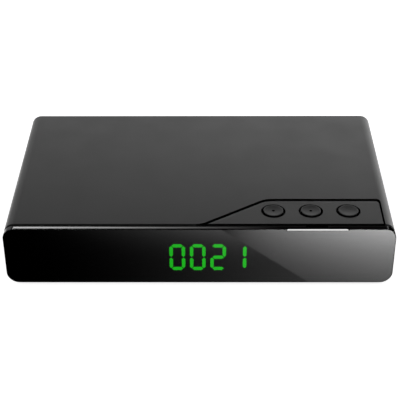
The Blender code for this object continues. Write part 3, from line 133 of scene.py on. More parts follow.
def solid(name, bm):
    """An object from a bmesh in millimetres."""
    for v in bm.verts:
        v.co = Vector((v.co.x * MM, v.co.y * MM + FRONT_Y, v.co.z * MM))
    bmesh.ops.recalc_face_normals(bm, faces=bm.faces)
    mesh = bpy.data.meshes.new(name)
    bm.to_mesh(mesh)
    bm.free()
    obj = bpy.data.objects.new(name, mesh)
    bpy.context.scene.collection.objects.link(obj)
    return obj


def layered(name, stacks, axis="Y"):
    """Solids through matching outlines, each stack a list of (outline, level)."""
    bm = bmesh.new()
    for stack in stacks:
        rings = [[bm.verts.new(placed(axis, u, v, level)) for u, v in outline] for outline, level in stack]
        bm.faces.new(rings[0])
        bm.faces.new(reversed(rings[-1]))
        for near, far in zip(rings, rings[1:]):
            for i in range(len(near)):
                bm.faces.new((near[i - 1], near[i], far[i], far[i - 1]))
    return solid(name, bm)


def prisms(name, outlines, start, end, axis="Y"):
    """Several outlines pushed out between the same two levels, in one object."""
    return layered(name, [[(outline, start), (outline, end)] for outline in outlines], axis)


def prism(name, outline, start, end, axis="Y"):
    return prisms(name, [outline], start, end, axis)


def rectangle(left, right, low, high):
    return [(left, low), (right, low), (right, high), (left, high)]


def box(name, x, y, z):
    return prism(name, rectangle(*x, *z), *y)


def about(middle, width):
    return (middle - width / 2, middle + width / 2)


def grown(pair, by):
    return (pair[0] - by, pair[1] + by)


def turned(name, profile, at, axis="Z", sides=SIDES, wobble=None):
    """Sweeps a profile of (radius, along) round an axis; wobble changes a radius by turn and place."""
    bm = bmesh.new()
    rings = []
    for radius, along in profile:
        if radius == 0:
            rings.append([bm.verts.new(placed(axis, 0, 0, along) + Vector(at))])
            continue
        ring = []
        for i in range(sides):
            t = 2 * math.pi * (i + 0.5) / sides
            r = radius + (wobble(t, radius, along) if wobble else 0)
            ring.append(bm.verts.new(placed(axis, r * math.cos(t), r * math.sin(t), along) + Vector(at)))
        rings.append(ring)
    for low, high in zip(rings, rings[1:]):
        for i in range(sides):
            if len(low) == 1:
                corners = [low[0], high[i], high[i - 1]]
            elif len(high) == 1:
                corners = [low[i - 1], low[i], high[0]]
            else:
                corners = [low[i - 1], low[i], high[i], high[i - 1]]
            bm.faces.new(corners)
    return solid(name, bm)


def rod(name, radius, start, end, at, axis="Z", sides=SIDES):
    return turned(name, [(0, start), (radius, start), (radius, end), (0, end)], at, axis, sides)


def hollow_post(radius, start, end, pilot_end, at, axis="Z"):
    """A round post for a screw, with a pilot hole let in from its end."""
    profile = [(0, start), (radius, start), (radius, end), (PILOT_RADIUS, end), (PILOT_RADIUS, pilot_end)]
    return turned("post", profile + [(0, pilot_end)], at, axis, SMALL_SIDES)


def arc(centre, radius, start, sweep, step=ARC_STEP):
    steps = max(1, round(abs(sweep) / step))
    angles = [start + sweep * i / steps for i in range(steps + 1)]
    return [(centre[0] + radius * math.cos(a), centre[1] + radius * math.sin(a)) for a in angles]


def filleted(corners, radii, step=ARC_STEP):
    """An outline with each corner rounded by its radius."""
    outline = []
    for i, (corner, radius) in enumerate(zip(corners, radii)):
        here = Vector(corner)
        if radius <= 0:
            outline.append(tuple(here))
            continue
        before = (Vector(corners[i - 1]) - here).normalized()
        after = (Vector(corners[(i + 1) % len(corners)]) - here).normalized()
        half = before.angle(after) / 2
        centre = here + (before + after).normalized() * (radius / math.sin(half))
        first = here + before * (radius / math.tan(half)) - centre
        last = here + after * (radius / math.tan(half)) - centre
        start = math.atan2(first.y, first.x)
        sweep = (math.atan2(last.y, last.x) - start + math.pi) % (2 * math.pi) - math.pi
        outline += arc(centre, radius, start, sweep, step)
    return outline


def combine(target, operation, *others):
    for other in others:
        step = target.modifiers.new(operation, "BOOLEAN")
        step.operation = operation
        step.solver = "EXACT"
        step.object = other
        other.hide_render = True


def cut(target, *others):
    combine(target, "DIFFERENCE", *others)


def join(target, *others):
    combine(target, "UNION", *others)


def settled(obj, edge=0.0, angle=40):
    """Applies the Booleans, rounds the sharp edges and shades the piece smooth."""
    helpers = [m.object for m in obj.modifiers if m.type == "BOOLEAN"]
    if edge:
        bevel = obj.modifiers.new("edges", "BEVEL")
        bevel.width = edge * MM
        bevel.segments = 2
        bevel.limit_method = "ANGLE"
        bevel.angle_limit = math.radians(angle)
        bevel.miter_outer = "MITER_ARC"
        bevel.use_clamp_overlap = True
    smooth = obj.modifiers.new("normals", "WEIGHTED_NORMAL")
    smooth.keep_sharp = True
    smooth.weight = 80
    obj.data.shade_smooth()
    graph = bpy.context.evaluated_depsgraph_get()
    final = obj.evaluated_get(graph)
    mesh = bpy.data.meshes.new_from_object(final, preserve_all_data_layers=True, depsgraph=graph)
    obj.modifiers.clear()
    obj.data = mesh
    for helper in helpers:
        bpy.data.objects.remove(helper)
    return obj


def dress(obj, nodes, slot, *materials, body="case"):
    """Rides the piece on its body in place of its CAD nodes."""
    obj.data.materials.clear()
    for material in materials:
        obj.data.materials.append(material)
    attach(obj, body)
    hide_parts(*([nodes] if isinstance(nodes, str) else nodes))


# ---------------------------------------------------------------- materials
def blank(name):
    material = bpy.data.materials.new(name)
    material.use_nodes = True
    return material, material.node_tree.nodes, material.node_tree.links


def textured(name, colour, roughness, metallic=0.0, spread=0.15, tone=900.0, grain=0.0, grain_size=2500.0,
             rough_spread=0.08, **sockets):
    """A Principled material with mottled colour, uneven roughness and a fine grain."""
    material, nodes, links = blank(name)
    shader = nodes["Principled BSDF"]
    place = nodes.new("ShaderNodeTexCoord")
    broad = nodes.new("ShaderNodeTexNoise")
    broad.inputs["Scale"].default_value = tone
    broad.inputs["Detail"].default_value = 3.0
    links.new(place.outputs["Object"], broad.inputs["Vector"])
    ramp = nodes.new("ShaderNodeValToRGB")
    ramp.color_ramp.elements[0].position = 0.3
    ramp.color_ramp.elements[1].position = 0.7
    ramp.color_ramp.elements[0].color = (*[c * (1 - spread) for c in colour], 1)
    ramp.color_ramp.elements[1].color = (*[min(1, c * (1 + spread)) for c in colour], 1)
    links.new(broad.outputs["Fac"], ramp.inputs["Fac"])
    links.new(ramp.outputs["Color"], shader.inputs["Base Color"])
    uneven = nodes.new("ShaderNodeMapRange")
    uneven.inputs["To Min"].default_value = max(0.0, roughness - rough_spread)
    uneven.inputs["To Max"].default_value = min(1.0, roughness + rough_spread)
    links.new(broad.outputs["Fac"], uneven.inputs["Value"])
    links.new(uneven.outputs["Result"], shader.inputs["Roughness"])
    shader.inputs["Metallic"].default_value = metallic
    if grain:
        fine = nodes.new("ShaderNodeTexNoise")
        fine.inputs["Scale"].default_value = grain_size
        fine.inputs["Detail"].default_value = 2.0
        links.new(place.outputs["Object"], fine.inputs["Vector"])
        bump = nodes.new("ShaderNodeBump")
        bump.inputs["Strength"].default_value = grain
        bump.inputs["Distance"].default_value = 0.00005
        links.new(fine.outputs["Fac"], bump.inputs["Height"])
        links.new(bump.outputs["Normal"], shader.inputs["Normal"])
    for socket, value in sockets.items():
        shader.inputs[socket.replace("_", " ")].default_value = value
    return material


CASE = textured("case_plastic", (0.02, 0.0202, 0.02), 0.4, spread=0.06, tone=60, grain=0.5, grain_size=2600)
PLATE = textured("plate_plastic", (0.024, 0.0242, 0.024), 0.4, spread=0.06, tone=60, grain=0.5,
                 grain_size=2600)
CAPS = textured("cap_plastic", (0.012, 0.012, 0.012), 0.4, spread=0.1, tone=90, grain=0.4, grain_size=2600,
                Specular_IOR_Level=0.39)
GLOSS = textured("polished_black", (0.003, 0.003, 0.003), 0.03, spread=0.1, tone=40, rough_spread=0.01)
# Painted shade: a matte black with no reflection, put on joints, gap walls, rims and edges where shade
# falls; it also colours the raised marks on the buttons
PAINTED_SHADE_AND_MARKS = textured("painted_shade_and_mark_black", (0.002, 0.002, 0.002), 0.9, spread=0.1, tone=200, Specular_IOR_Level=0.0)
PANEL_PLASTIC = textured("panel_plastic", (0.02, 0.02, 0.0205), 0.5, spread=0.1, tone=80, grain=0.7,
                         grain_size=1500)
RUBBER = textured("foot_rubber", (0.015, 0.015, 0.015), 0.8, spread=0.25, tone=500, grain=0.8,
                  grain_size=1800)
NICKEL = textured("nickel_plate", (0.66, 0.63, 0.57), 0.24, 1.0, spread=0.06, tone=300, rough_spread=0.07)
GOLD = textured("gold_contact", (0.85, 0.6, 0.22), 0.25, 1.0, spread=0.06, tone=300)
STEEL = textured("screw_steel", (0.18, 0.18, 0.185), 0.36, 1.0, spread=0.15, tone=700, grain=0.3)
SOCKET = textured("socket_plastic", (0.014, 0.014, 0.0145), 0.45, spread=0.15, tone=200, grain=0.4)
ORANGE = textured("audio_plastic", (0.75, 0.2, 0.02), 0.4, spread=0.06, tone=200)
CREAM = textured("dielectric", (0.75, 0.72, 0.64), 0.5, spread=0.05, tone=300)


GLOW_FADE = 0.1


def glowing(name, colour, strength, base, mottle=250.0, depth=None):
    """A lit piece: its glow is a little uneven, as through a milky guide, and may end at a depth."""
    material = textured(name, base, 0.35, spread=0.05, tone=mottle)
    nodes, links = material.node_tree.nodes, material.node_tree.links
    shader = nodes["Principled BSDF"]
    place = nodes.new("ShaderNodeTexCoord")
    noise = nodes.new("ShaderNodeTexNoise")
    noise.inputs["Scale"].default_value = mottle
    links.new(place.outputs["Object"], noise.inputs["Vector"])
    ramp = nodes.new("ShaderNodeValToRGB")
    ramp.color_ramp.elements[0].color = (*[c * 0.9 for c in colour], 1)
    ramp.color_ramp.elements[1].color = (*colour, 1)
    links.new(noise.outputs["Fac"], ramp.inputs["Fac"])
    glow = ramp.outputs["Color"]
    if depth:
        split = nodes.new("ShaderNodeSeparateXYZ")
        links.new(place.outputs["Object"], split.inputs["Vector"])
        fade = nodes.new("ShaderNodeMapRange")
        fade.inputs["From Min"].default_value = FRONT_Y + depth * MM
        fade.inputs["From Max"].default_value = FRONT_Y + (depth + GLOW_FADE) * MM
        fade.inputs["To Min"].default_value = 1.0
        fade.inputs["To Max"].default_value = 0.0
        links.new(split.outputs["Y"], fade.inputs["Value"])
        mask = nodes.new("ShaderNodeVectorMath")
        mask.operation = "SCALE"
        links.new(glow, mask.inputs[0])
        links.new(fade.outputs["Result"], mask.inputs["Scale"])
        glow = mask.outputs["Vector"]
    links.new(glow, shader.inputs["Emission Color"])
    shader.inputs["Emission Strength"].default_value = strength
    return material


LIT_WHITE = glowing("lit_guide", (1.0, 1.0, 1.0), 0.86, (0.05, 0.05, 0.05), depth=0.4)
LIT_GREEN = glowing("lit_segment", (0.012, 0.75, 0.014), 8.0, (0.01, 0.05, 0.01))
UNLIT = textured("unlit_segment", (0.006, 0.008, 0.006), 0.6, spread=0.1, tone=300)
HOUSING = textured("display_housing", (0.004, 0.004, 0.004), 0.7, spread=0.2, tone=300)

SMOKED = textured("smoked_acrylic", (0.08, 0.08, 0.082), 0.02, spread=0.05, tone=30, rough_spread=0.01,
                  Transmission_Weight=1.0, IOR=1.58)


def spot(face):
    """The middle of a face in the millimetres that the shapes are written in."""
    return face.center.x / MM, (face.center.y - FRONT_Y) / MM, face.center.z / MM


def shade(obj, top, slope=0.5, back=2.0):
    """Paints shade: blackens the upright faces of the joints below a height, where little light falls in.

    Faces that lie flatter than the slope, or turn to the back more than asked, are left.
    """
    for face in obj.data.polygons:
        x, y, z = spot(face)
        inner = abs(x) < PLATE_RIGHT + 2 and COVER_FRONT - 0.1 < y < PLATE_BACK + 2
        if inner and ROOF - 3 < z < top and abs(face.normal.z) < slope and face.normal.y < back:
            face.material_index = 1


# ---------------------------------------------------------------- the case
RIGHT_ROUND = 2
SHOULDER_ROUND = 11
TIP_ROUND = 10.0


def case_outline(inset):
    side = WIDTH / 2 - inset
    corners = rectangle(-side, side, LOW + inset, HIGH - inset)
    low, high = BOTTOM_RADIUS - inset, TOP_RADIUS - inset
    return filleted(corners, [low, low, high, high])


def half_path(inset, edge_z, upper):
    """The outline above a height, from right to left, or below it, from left to right."""
    middle = LOW + HEIGHT / 2
    points = [p for p in case_outline(inset) if (p[1] > middle) == upper]
    side = (WIDTH / 2 - inset) * (1 if upper else -1)
    return [(side, edge_z), *points, (-side, edge_z)]


def plate_corners(shift, front_y, right_shift):
    """Corners of the plate's outline, moved out from the middle of the joint."""
    slant = (Vector((SHOULDER_X, PLATE_BACK)) - TIP).normalized()
    start = TIP + Vector((-slant.y, slant.x)) * shift
    back = PLATE_BACK + shift
    run = slant.x / slant.y
    front_x = start.x + (front_y - start.y) * run
    shoulder_x = start.x + (back - start.y) * run
    right = PLATE_RIGHT + right_shift
    return [(front_x, front_y), (right, front_y), (right, back), (shoulder_x, back)]


def plate_outline(shift, front_y, right_shift):
    corner = max(TINY, RIGHT_ROUND + right_shift)
    return filleted(plate_corners(shift, front_y, right_shift), [0, 0, corner, SHOULDER_ROUND + shift])


def notch_outline():
    """The cover's cut-out for the plate, with a soft start at the tip."""
    shift = JOINT / 2
    front, right, back, shoulder = plate_corners(shift, COVER_FRONT, shift)
    turn = math.atan2(shoulder[1] - front[1], shoulder[0] - front[0])
    centre = (front[0] - TIP_ROUND * math.tan(turn / 2), COVER_FRONT + TIP_ROUND)
    blend = arc(centre, TIP_ROUND, turn - math.pi / 2, -turn)
    ahead = COVER_FRONT - OVER
    corners = [(centre[0], ahead), (right[0], ahead), back, shoulder, *blend]
    return filleted(corners, [0, 0, RIGHT_ROUND + shift, SHOULDER_ROUND + shift] + [0] * len(blend))


# Where the screws, the board posts and the feet are
BOSSES = [(x, y) for x in (-99.0, 99.0) for y in (40.0, 117.0)]
BOARD_POSTS = [(x, y) for x in (-89.0, 89.0) for y in (27.0, 92.5)]
FEET = [(x, y) for x in (-86.0, 86.0) for y in (22.0, 112.0)]

# The cover's screw bosses, and the ribs that hold the rear panel
BOSS_RADIUS = 3
BOSS_END = 7.4
BOSS_PILOT_END = 14.2
RIB_WIDTH = 1.2
RIB_HEIGHT = 1.6
RIB_SETBACK = 10

# The bottom's posts, its screw seats and the recesses for the feet
POST_RADIUS = 2.8
POST_TOP = 8.5
POST_PILOT_END = 5.7
PAD_RADIUS = 4.6
PAD_TOP = 7.1
SEAT_RADIUS = 3.0
SEAT_TOP = 5.1
WAY_RADIUS = 1.5
RECESS_RADIUS = 7.3
RECESS_TOP = 3.3

# The vents, in two rows
VENT_ROWS = (-12.0, 12.0)
VENTS_IN_ROW = 12
VENT_PITCH = 5.2
VENT_WIDTH = 2.2
VENT_LENGTH = 18
VENT_MIDDLE_Y = 74.4
VENT_ROUND = 1.0


def panel_ribs(owner, low, high):
    half = WIDTH / 2 - WALL - RIB_SETBACK
    front, back = PANEL[0] - FIT, PANEL[1] + FIT
    for y in ((front - RIB_WIDTH, front), (back, DEPTH - TINY)):
        join(owner, box("rib", (-half, half), y, (low, high)))


def make_cover():
    low = PARTING + FIT
    step = low + LIP_HEIGHT
    lip = WIDTH / 2 - LIP
    section = [*half_path(0, low, True), (-lip, low), (-lip, step)]
    section += [*half_path(WALL, step, True)[::-1], (lip, step), (lip, low)]
    cover = prism("cover", section, COVER_FRONT, DEPTH)
    panel_ribs(cover, ROOF - RIB_HEIGHT, ROOF + LAP)
    for x, y in BOSSES:
        join(cover, hollow_post(BOSS_RADIUS, ROOF + LAP, BOSS_END, BOSS_PILOT_END, (x, y, 0)))
    cut(cover, prism("notch", notch_outline(), ROOF - OVER, HIGH + OVER, "Z"))
    dress(settled(cover, edge=0.22), "top_cover", "case_black", CASE, PAINTED_SHADE_AND_MARKS)
    # Painted shade: the upright walls of the notch round the plate are blackened
    shade(cover, HIGH - 0.3)


def make_floor():
    lip = WIDTH / 2 - LIP - FIT
    tongue = PARTING + LIP_HEIGHT
    section = [*half_path(0, PARTING, False), (lip, PARTING), (lip, tongue)]
    section += [*half_path(WALL, tongue, False)[::-1], (-lip, tongue), (-lip, PARTING)]
    shell = prism("floor_shell", section, COVER_FRONT, DEPTH)
    panel_ribs(shell, FLOOR - LAP, FLOOR + RIB_HEIGHT)
    for x, y in BOARD_POSTS:
        join(shell, hollow_post(POST_RADIUS, FLOOR - LAP, POST_TOP, POST_PILOT_END, (x, y, 0)))
    for x, y in BOSSES:
        join(shell, rod("pad", PAD_RADIUS, FLOOR - LAP, PAD_TOP, (x, y, 0), sides=ROUND_SIDES))
        cut(shell, rod("seat", SEAT_RADIUS, LOW - OVER, SEAT_TOP, (x, y, 0), sides=ROUND_SIDES))
        ends = (SEAT_TOP - OVER, PAD_TOP + OVER)
        cut(shell, rod("way", WAY_RADIUS, *ends, (x, y, 0), sides=SMALL_SIDES))
    for x, y in FEET:
        cut(shell, rod("recess", RECESS_RADIUS, 0, RECESS_TOP, (x, y, 0)))
    slots = []
    for row in VENT_ROWS:
        for i in range(VENTS_IN_ROW):
            x = about(VENT_PITCH * (i - (VENTS_IN_ROW - 1) / 2), VENT_WIDTH)
            y = about(VENT_MIDDLE_Y + row, VENT_LENGTH)
            slots.append(filleted(rectangle(*x, *y), [VENT_ROUND] * 4, COARSE_STEP))
    cut(shell, prisms("vents", slots, LOW - OVER, FLOOR + OVER, "Z"))
    dress(settled(shell, edge=0.2), "bottom_shell", "case_black", CASE)


FOOT_RADIUS = 7.0
FOOT_TOP = 3.1
FOOT_ROUND = 1.0
FOOT_DISH = (4.2, 4.6, 0.25)


def make_feet():
    names = ("foot_left_front", "foot_left_back", "foot_right_front", "foot_right_back")
    dish, rim, depth = FOOT_DISH
    profile = [(0, depth), (dish, depth), (rim, 0.0)]
    bend = (FOOT_RADIUS - FOOT_ROUND, FOOT_ROUND)
    profile += arc(bend, FOOT_ROUND, -math.pi / 2, math.pi / 2, COARSE_STEP)
    profile += [(FOOT_RADIUS, FOOT_TOP), (0, FOOT_TOP)]
    for name, (x, y) in zip(names, FEET):
        foot = turned("pad_" + name, profile, (x, y, 0))
        dress(settled(foot), name, "foot_rubber", RUBBER)


# The case screws: radii of tip and shank, then the head's side as radius and height over the seat
TIP_RADIUS = 0.9
TIP_LENGTH = 0.5
SHANK_RADIUS = 1.2
HEAD_SIDE = ((2.7, 0), (2.7, 0.9), (2.45, 1.35), (1.9, 1.6))
HEAD_HEIGHT = 1.7
DRIVE_REACH = 1.7
DRIVE_HALF = 0.36
DRIVE_DEPTH = 1.0
SCREW_SEAT = 4.9
SCREW_END = 13.9


def make_screws():
    """Pan head screws with a cross drive, driven in from below."""
    top = SCREW_SEAT - HEAD_HEIGHT
    profile = [(0, SCREW_END), (TIP_RADIUS, SCREW_END), (SHANK_RADIUS, SCREW_END - TIP_LENGTH)]
    profile += [(SHANK_RADIUS, SCREW_SEAT)]
    profile += [(radius, SCREW_SEAT - height) for radius, height in HEAD_SIDE] + [(0, top)]
    for i, (x, y) in enumerate(BOSSES):
        piece = turned(f"base_screw_{i + 1}", profile, (x, y, 0), sides=ROUND_SIDES)
        for u, v in ((DRIVE_REACH, DRIVE_HALF), (DRIVE_HALF, DRIVE_REACH)):
            outline = rectangle(x - u, x + u, y - v, y + v)
            cut(piece, prism("drive", outline, top + DRIVE_DEPTH, top - OVER, "Z"))
        dress(settled(piece, edge=0.08), f"case_screw_{i + 1}", "screw_steel", STEEL)


# ---------------------------------------------------------------- the front
# The light guide: a mitred bar in the top edge, and a leg that turns down and back to its lamp
LIGHT_X = 65.9
LIGHT_HALF = 17.0
LIGHT_DEPTH = 0.9
LIGHT_SLOPE = 0.8 / LIGHT_DEPTH
LIGHT_TOP = HIGH - 0.2
BAR_LOW = HIGH - 0.7
LEG_WIDTH = 12
LEG_LEVELS = (BAR_LOW + 0.1, BAR_LOW + 0.5)
LEG_DROP = (2.3, 3.5)
LEG_FOOT = (BAR_LOW - 5.4, BAR_LOW - 3.9)
LEG_END = 7.4


def light_outline(grow):
    low, high = (-OVER if grow else 0), LIGHT_DEPTH + grow
    front, back = (LIGHT_HALF + grow * (1 + LIGHT_SLOPE) - LIGHT_SLOPE * y for y in (low, high))
    return [
        (LIGHT_X - front, low), (LIGHT_X + front, low), (LIGHT_X + back, high), (LIGHT_X - back, high),
    ]


def guide_side(grow):
    start, end = LIGHT_DEPTH - LAP, LEG_END + (OVER if grow else 0)
    low, top = grown(LEG_LEVELS, grow)
    front, back = grown(LEG_DROP, grow)
    foot, foot_top = grown(LEG_FOOT, grow)
    return [
        (start, low), (front, low), (front, foot), (end, foot),
        (end, foot_top), (back, foot_top), (back, top), (start, top),
    ]


def guide_space():
    bar = prism("bar_space", light_outline(SLIP), BAR_LOW - SLIP, HIGH + OVER, "Z")
    return bar, prism("leg_space", guide_side(SLIP), *about(LIGHT_X, LEG_WIDTH + 2 * SLIP), "X")


# The display's housing, the digits' slab in it and the window of the infrared receiver
DISPLAY_MIDDLE = 4.9
DISPLAY_X = about(DISPLAY_MIDDLE, 50.68)
DISPLAY_Z = about(DIGIT_Z, 21.96)
INFRARED_X = about(42.24, 5.6)
INFRARED_Z = about(DIGIT_Z, 7.0)
DISPLAY_DEPTH = (2.5, 8.8)
SLAB_X = about(DISPLAY_MIDDLE, 46.28)
SLAB_Z = about(DIGIT_Z, 19.96)
SLAB_DEPTH = (7.5, 8.5)
SLAB_WIDTH = 11.27
SEGMENT_FRONT = 2.5

# The bezel and the window
BEZEL_FRONT = 0.2
STEP_INSET = 0.5
COLLAR_WALL = 1.5
POCKET_INSET = 0.6
DISPLAY_POSTS = (-54.0, 90.0)
DISPLAY_POST_Z = 16.5
DISPLAY_POST_RADIUS = 2.6
DISPLAY_POST_END = 9.1
DISPLAY_PILOT_START = 6.3
WINDOW_LIP = ((0.38, 0), (0.2, 0.08), (0.2, 0.18))
WINDOW_INSET = 0.8
WINDOW_OVERLAP = 0.1


def make_bezel():
    bezel = prism("bezel", case_outline(0), BEZEL_FRONT, BEZEL_STEP)
    join(bezel, prism("step", case_outline(STEP_INSET), BEZEL_STEP - LAP, BEZEL_BACK))
    join(bezel, prism("collar", case_outline(WALL + FIT), BEZEL_BACK - LAP, COLLAR_BACK))
    cut(bezel, prism("hollow", case_outline(WALL + FIT + COLLAR_WALL), BEZEL_BACK, COLLAR_BACK + OVER))
    cut(bezel, prism("pocket", case_outline(POCKET_INSET), -OVER, WINDOW_BACK + FIT))
    through = (WINDOW_BACK, COLLAR_BACK + OVER)
    cut(bezel, box("display_way", grown(DISPLAY_X, FIT), through, grown(DISPLAY_Z, FIT)))
    cut(bezel, box("infrared_way", grown(INFRARED_X, FIT), through, grown(INFRARED_Z, FIT)))
    cut(bezel, *guide_space())
    ends = (BEZEL_BACK - LAP, DISPLAY_POST_END, DISPLAY_PILOT_START)
    for x in DISPLAY_POSTS:
        join(bezel, hollow_post(DISPLAY_POST_RADIUS, *ends, (x, 0, DISPLAY_POST_Z), "Y"))
    settled(bezel, edge=0.1)
    dress(bezel, "front_bezel", "gloss_black", GLOSS, PAINTED_SHADE_AND_MARKS)
    # Painted shade: the faces behind the step, the rim round the window and the right faces of the top
    # corners are painted matte black
    for face in bezel.data.polygons:
        inside = face.center.y > FRONT_Y + (BEZEL_STEP - TINY) * MM
        rim = face.normal.y < -0.5
        corner = face.normal.x > 0.3 and face.center.z / MM > HIGH - TOP_RADIUS
        face.material_index = int(inside or rim or corner)


def make_window():
    window = layered("window", [[(case_outline(inset), y) for inset, y in WINDOW_LIP]])
    join(window, prism("plate", case_outline(WINDOW_INSET), WINDOW_OVERLAP, WINDOW_BACK))
    cut(window, *guide_space())
    dress(settled(window, edge=0.05), "front_window", "smoked_window", SMOKED, PAINTED_SHADE_AND_MARKS)
    # Painted shade: the window's edges that face right and down are painted matte black
    for face in window.data.polygons:
        face.material_index = int(face.normal.x > 0.3 or face.normal.z < -0.3)


def make_guide():
    bar = prism("light_bar", light_outline(0), BAR_LOW, LIGHT_TOP, "Z")
    join(bar, prism("leg", guide_side(0), *about(LIGHT_X, LEG_WIDTH), "X"))
    dress(settled(bar, edge=0.08), "status_light_guide", "light_guide", LIT_WHITE, PAINTED_SHADE_AND_MARKS)
    # Painted shade: the leg behind the bar is painted matte black
    for face in bar.data.polygons:
        face.material_index = int(face.center.y > FRONT_Y + (LIGHT_DEPTH + TINY) * MM)


# Length and width of the digits' segments, the height of a digit and how far out its upright ones are
DIGIT_HEIGHT = 15.76
FLAT_SEGMENT = (6.34, 2.2)
UPRIGHT_SEGMENT = (7.28, 1.9)
UPRIGHT_REACH = 3.47


def bar_outline(middle, size, upright, grow):
    """A segment with pointed ends."""
    length, width = size
    half = width / 2 + grow
    tip = length / 2 + grow * math.sqrt(2)
    flat = tip - half
    points = [(-tip, 0), (-flat, -half), (flat, -half), (tip, 0), (flat, half), (-flat, half)]
    if upright:
        points = [(-v, u) for u, v in points]
    return [(middle[0] + u, middle[1] + v) for u, v in points]


def digit_segments(x, grow):
    """Segments in order: low, middle, high, then the left pair and the right pair, lower first."""
    low, high = about(DIGIT_Z, DIGIT_HEIGHT)
    segments = [bar_outline((x, z), FLAT_SEGMENT, False, grow) for z in (low, DIGIT_Z, high)]
    for side in (-UPRIGHT_REACH, UPRIGHT_REACH):
        for z in ((low + DIGIT_Z) / 2, (DIGIT_Z + high) / 2):
            segments.append(bar_outline((x + side, z), UPRIGHT_SEGMENT, True, grow))
    return segments


# Along Y: the recess for the digits' slabs, and the slots round their segments
RECESS_DEPTH = (7.2, 9.8)
SLOT_DEPTH = (1.5, 8.2)
SLOT_GAP = 0.1

# Which segments light up for a number, and the number shown
LIT_SEGMENTS = {0: (0, 2, 3, 4, 5, 6), 1: (5, 6), 2: (0, 1, 2, 3, 6)}
SHOWN_NUMBER = (0, 0, 2, 1)


def make_display():
    housing = box("display_block", DISPLAY_X, DISPLAY_DEPTH, DISPLAY_Z)
    cut(housing, box("slab_recess", grown(SLAB_X, SLIP), RECESS_DEPTH, grown(SLAB_Z, SLIP)))
    slots = [outline for x in DIGIT_X for outline in digit_segments(x, SLOT_GAP)]
    cut(housing, prisms("segment_slots", slots, *SLOT_DEPTH))
    dress(settled(housing), "display_housing", "reflector_grey", HOUSING)
    for i, (x, number) in enumerate(zip(DIGIT_X, SHOWN_NUMBER)):
        outlines = digit_segments(x, 0)
        middles = [(sum(p[0] for p in o) / len(o), sum(p[1] for p in o) / len(o)) for o in outlines]
        slab = box(f"digit_{i + 1}", about(x, SLAB_WIDTH), SLAB_DEPTH, SLAB_Z)
        join(slab, prisms("bars", outlines, SEGMENT_FRONT, SLAB_DEPTH[0] + LAP))
        settled(slab)
        dress(slab, f"display_digit_{i + 1}", "segment_green", UNLIT, LIT_GREEN)
        for face in slab.data.polygons:
            u, y, v = spot(face)
            ahead = y < SLAB_DEPTH[0] - 0.1
            near = min(range(7), key=lambda n: math.dist((u, v), middles[n]))
            face.material_index = int(ahead and near in LIT_SEGMENTS[number])


# ---------------------------------------------------------------- the plate and its buttons
# The plate's edge: how far in from its back and slanted sides, and at what height
PLATE_INSET = 0.15 - JOINT / 2
PLATE_EDGE = (
    (0, FLANGE_TOP - LAP), (0, PLATE_TOP - 0.34), (0.1, PLATE_TOP - 0.25), (1.5, PLATE_TOP - 0.02),
    (1.9, PLATE_TOP),
)
FLANGE_WIDTH = 2.5
COLLAR_CLEARANCE = 9.3

# The posts that hold the key board: a thick part, and a pin through the board
KEY_POST = (2.5, 27.4)
KEY_PIN = (1.1, 25.0)

# The caps: stem, brim under the plate, rounded shoulder, shallow dish and raised marks
STEM_RADIUS = 1.5
STEM_LENGTH = 2.5
BRIM_RADIUS = 7.55
BRIM_HEIGHT = 1.0
CAP_ROUND = 0.5
DISH_DEPTH = 0.3
DISH_STEPS = (0.9, 0.75, 0.6, 0.45, 0.3, 0.15, 0)
MARK_SIZE = (1.7, 0.45)
MARK_DEPTHS = (BUTTON_TOP - 0.7, BUTTON_TOP - 0.2)
MARK_REACH = 0.9


def make_plate():
    stack = []
    for run, level in PLATE_EDGE:
        stack.append((plate_outline(PLATE_INSET - run, PLATE_FRONT, PLATE_INSET), level))
    plate = layered("plate", [stack], "Z")
    flange = plate_outline(JOINT / 2 + FLANGE_WIDTH, PLATE_FRONT + LAP, PLATE_INSET - LAP)
    join(plate, prism("flange", flange, FLANGE_LOW, FLANGE_TOP, "Z"))
    step = (COVER_FRONT - OVER, COLLAR_CLEARANCE)
    cut(plate, box("collar_step", (-WIDTH / 2, WIDTH / 2), step, (FLANGE_LOW - OVER, ROOF)))
    for x in BUTTON_X:
        well = rod("well", WELL_RADIUS, FLANGE_LOW - OVER, HIGH + OVER, (x, BUTTON_Y, 0), sides=FINE_SIDES)
        cut(plate, well)
    (thick, thick_end), (thin, thin_end) = KEY_POST, KEY_PIN
    root = FLANGE_LOW + LAP
    profile = [(0, thin_end), (thin, thin_end), (thin, thick_end)]
    profile += [(thick, thick_end), (thick, root), (0, root)]
    for a, b in zip(BUTTON_X, BUTTON_X[1:]):
        join(plate, turned("key_post", profile, ((a + b) / 2, BUTTON_Y, 0), sides=SMALL_SIDES))
    dress(settled(plate, edge=0.12), "button_plate", "case_black", PLATE, PAINTED_SHADE_AND_MARKS)
    # Painted shade: the plate's upright joint and well walls are blackened, all but the far walls of the
    # wells
    shade(plate, PLATE_TOP - 0.3)
    for face in plate.data.polygons:
        # the far wall of each well catches the light again
        x, y, z = spot(face)
        reach = min(math.hypot(x - middle, y - BUTTON_Y) for middle in BUTTON_X)
        if reach < WELL_RADIUS + 0.1 and face.normal.y < -0.5 and z > FLANGE_LOW:
            face.material_index = 0


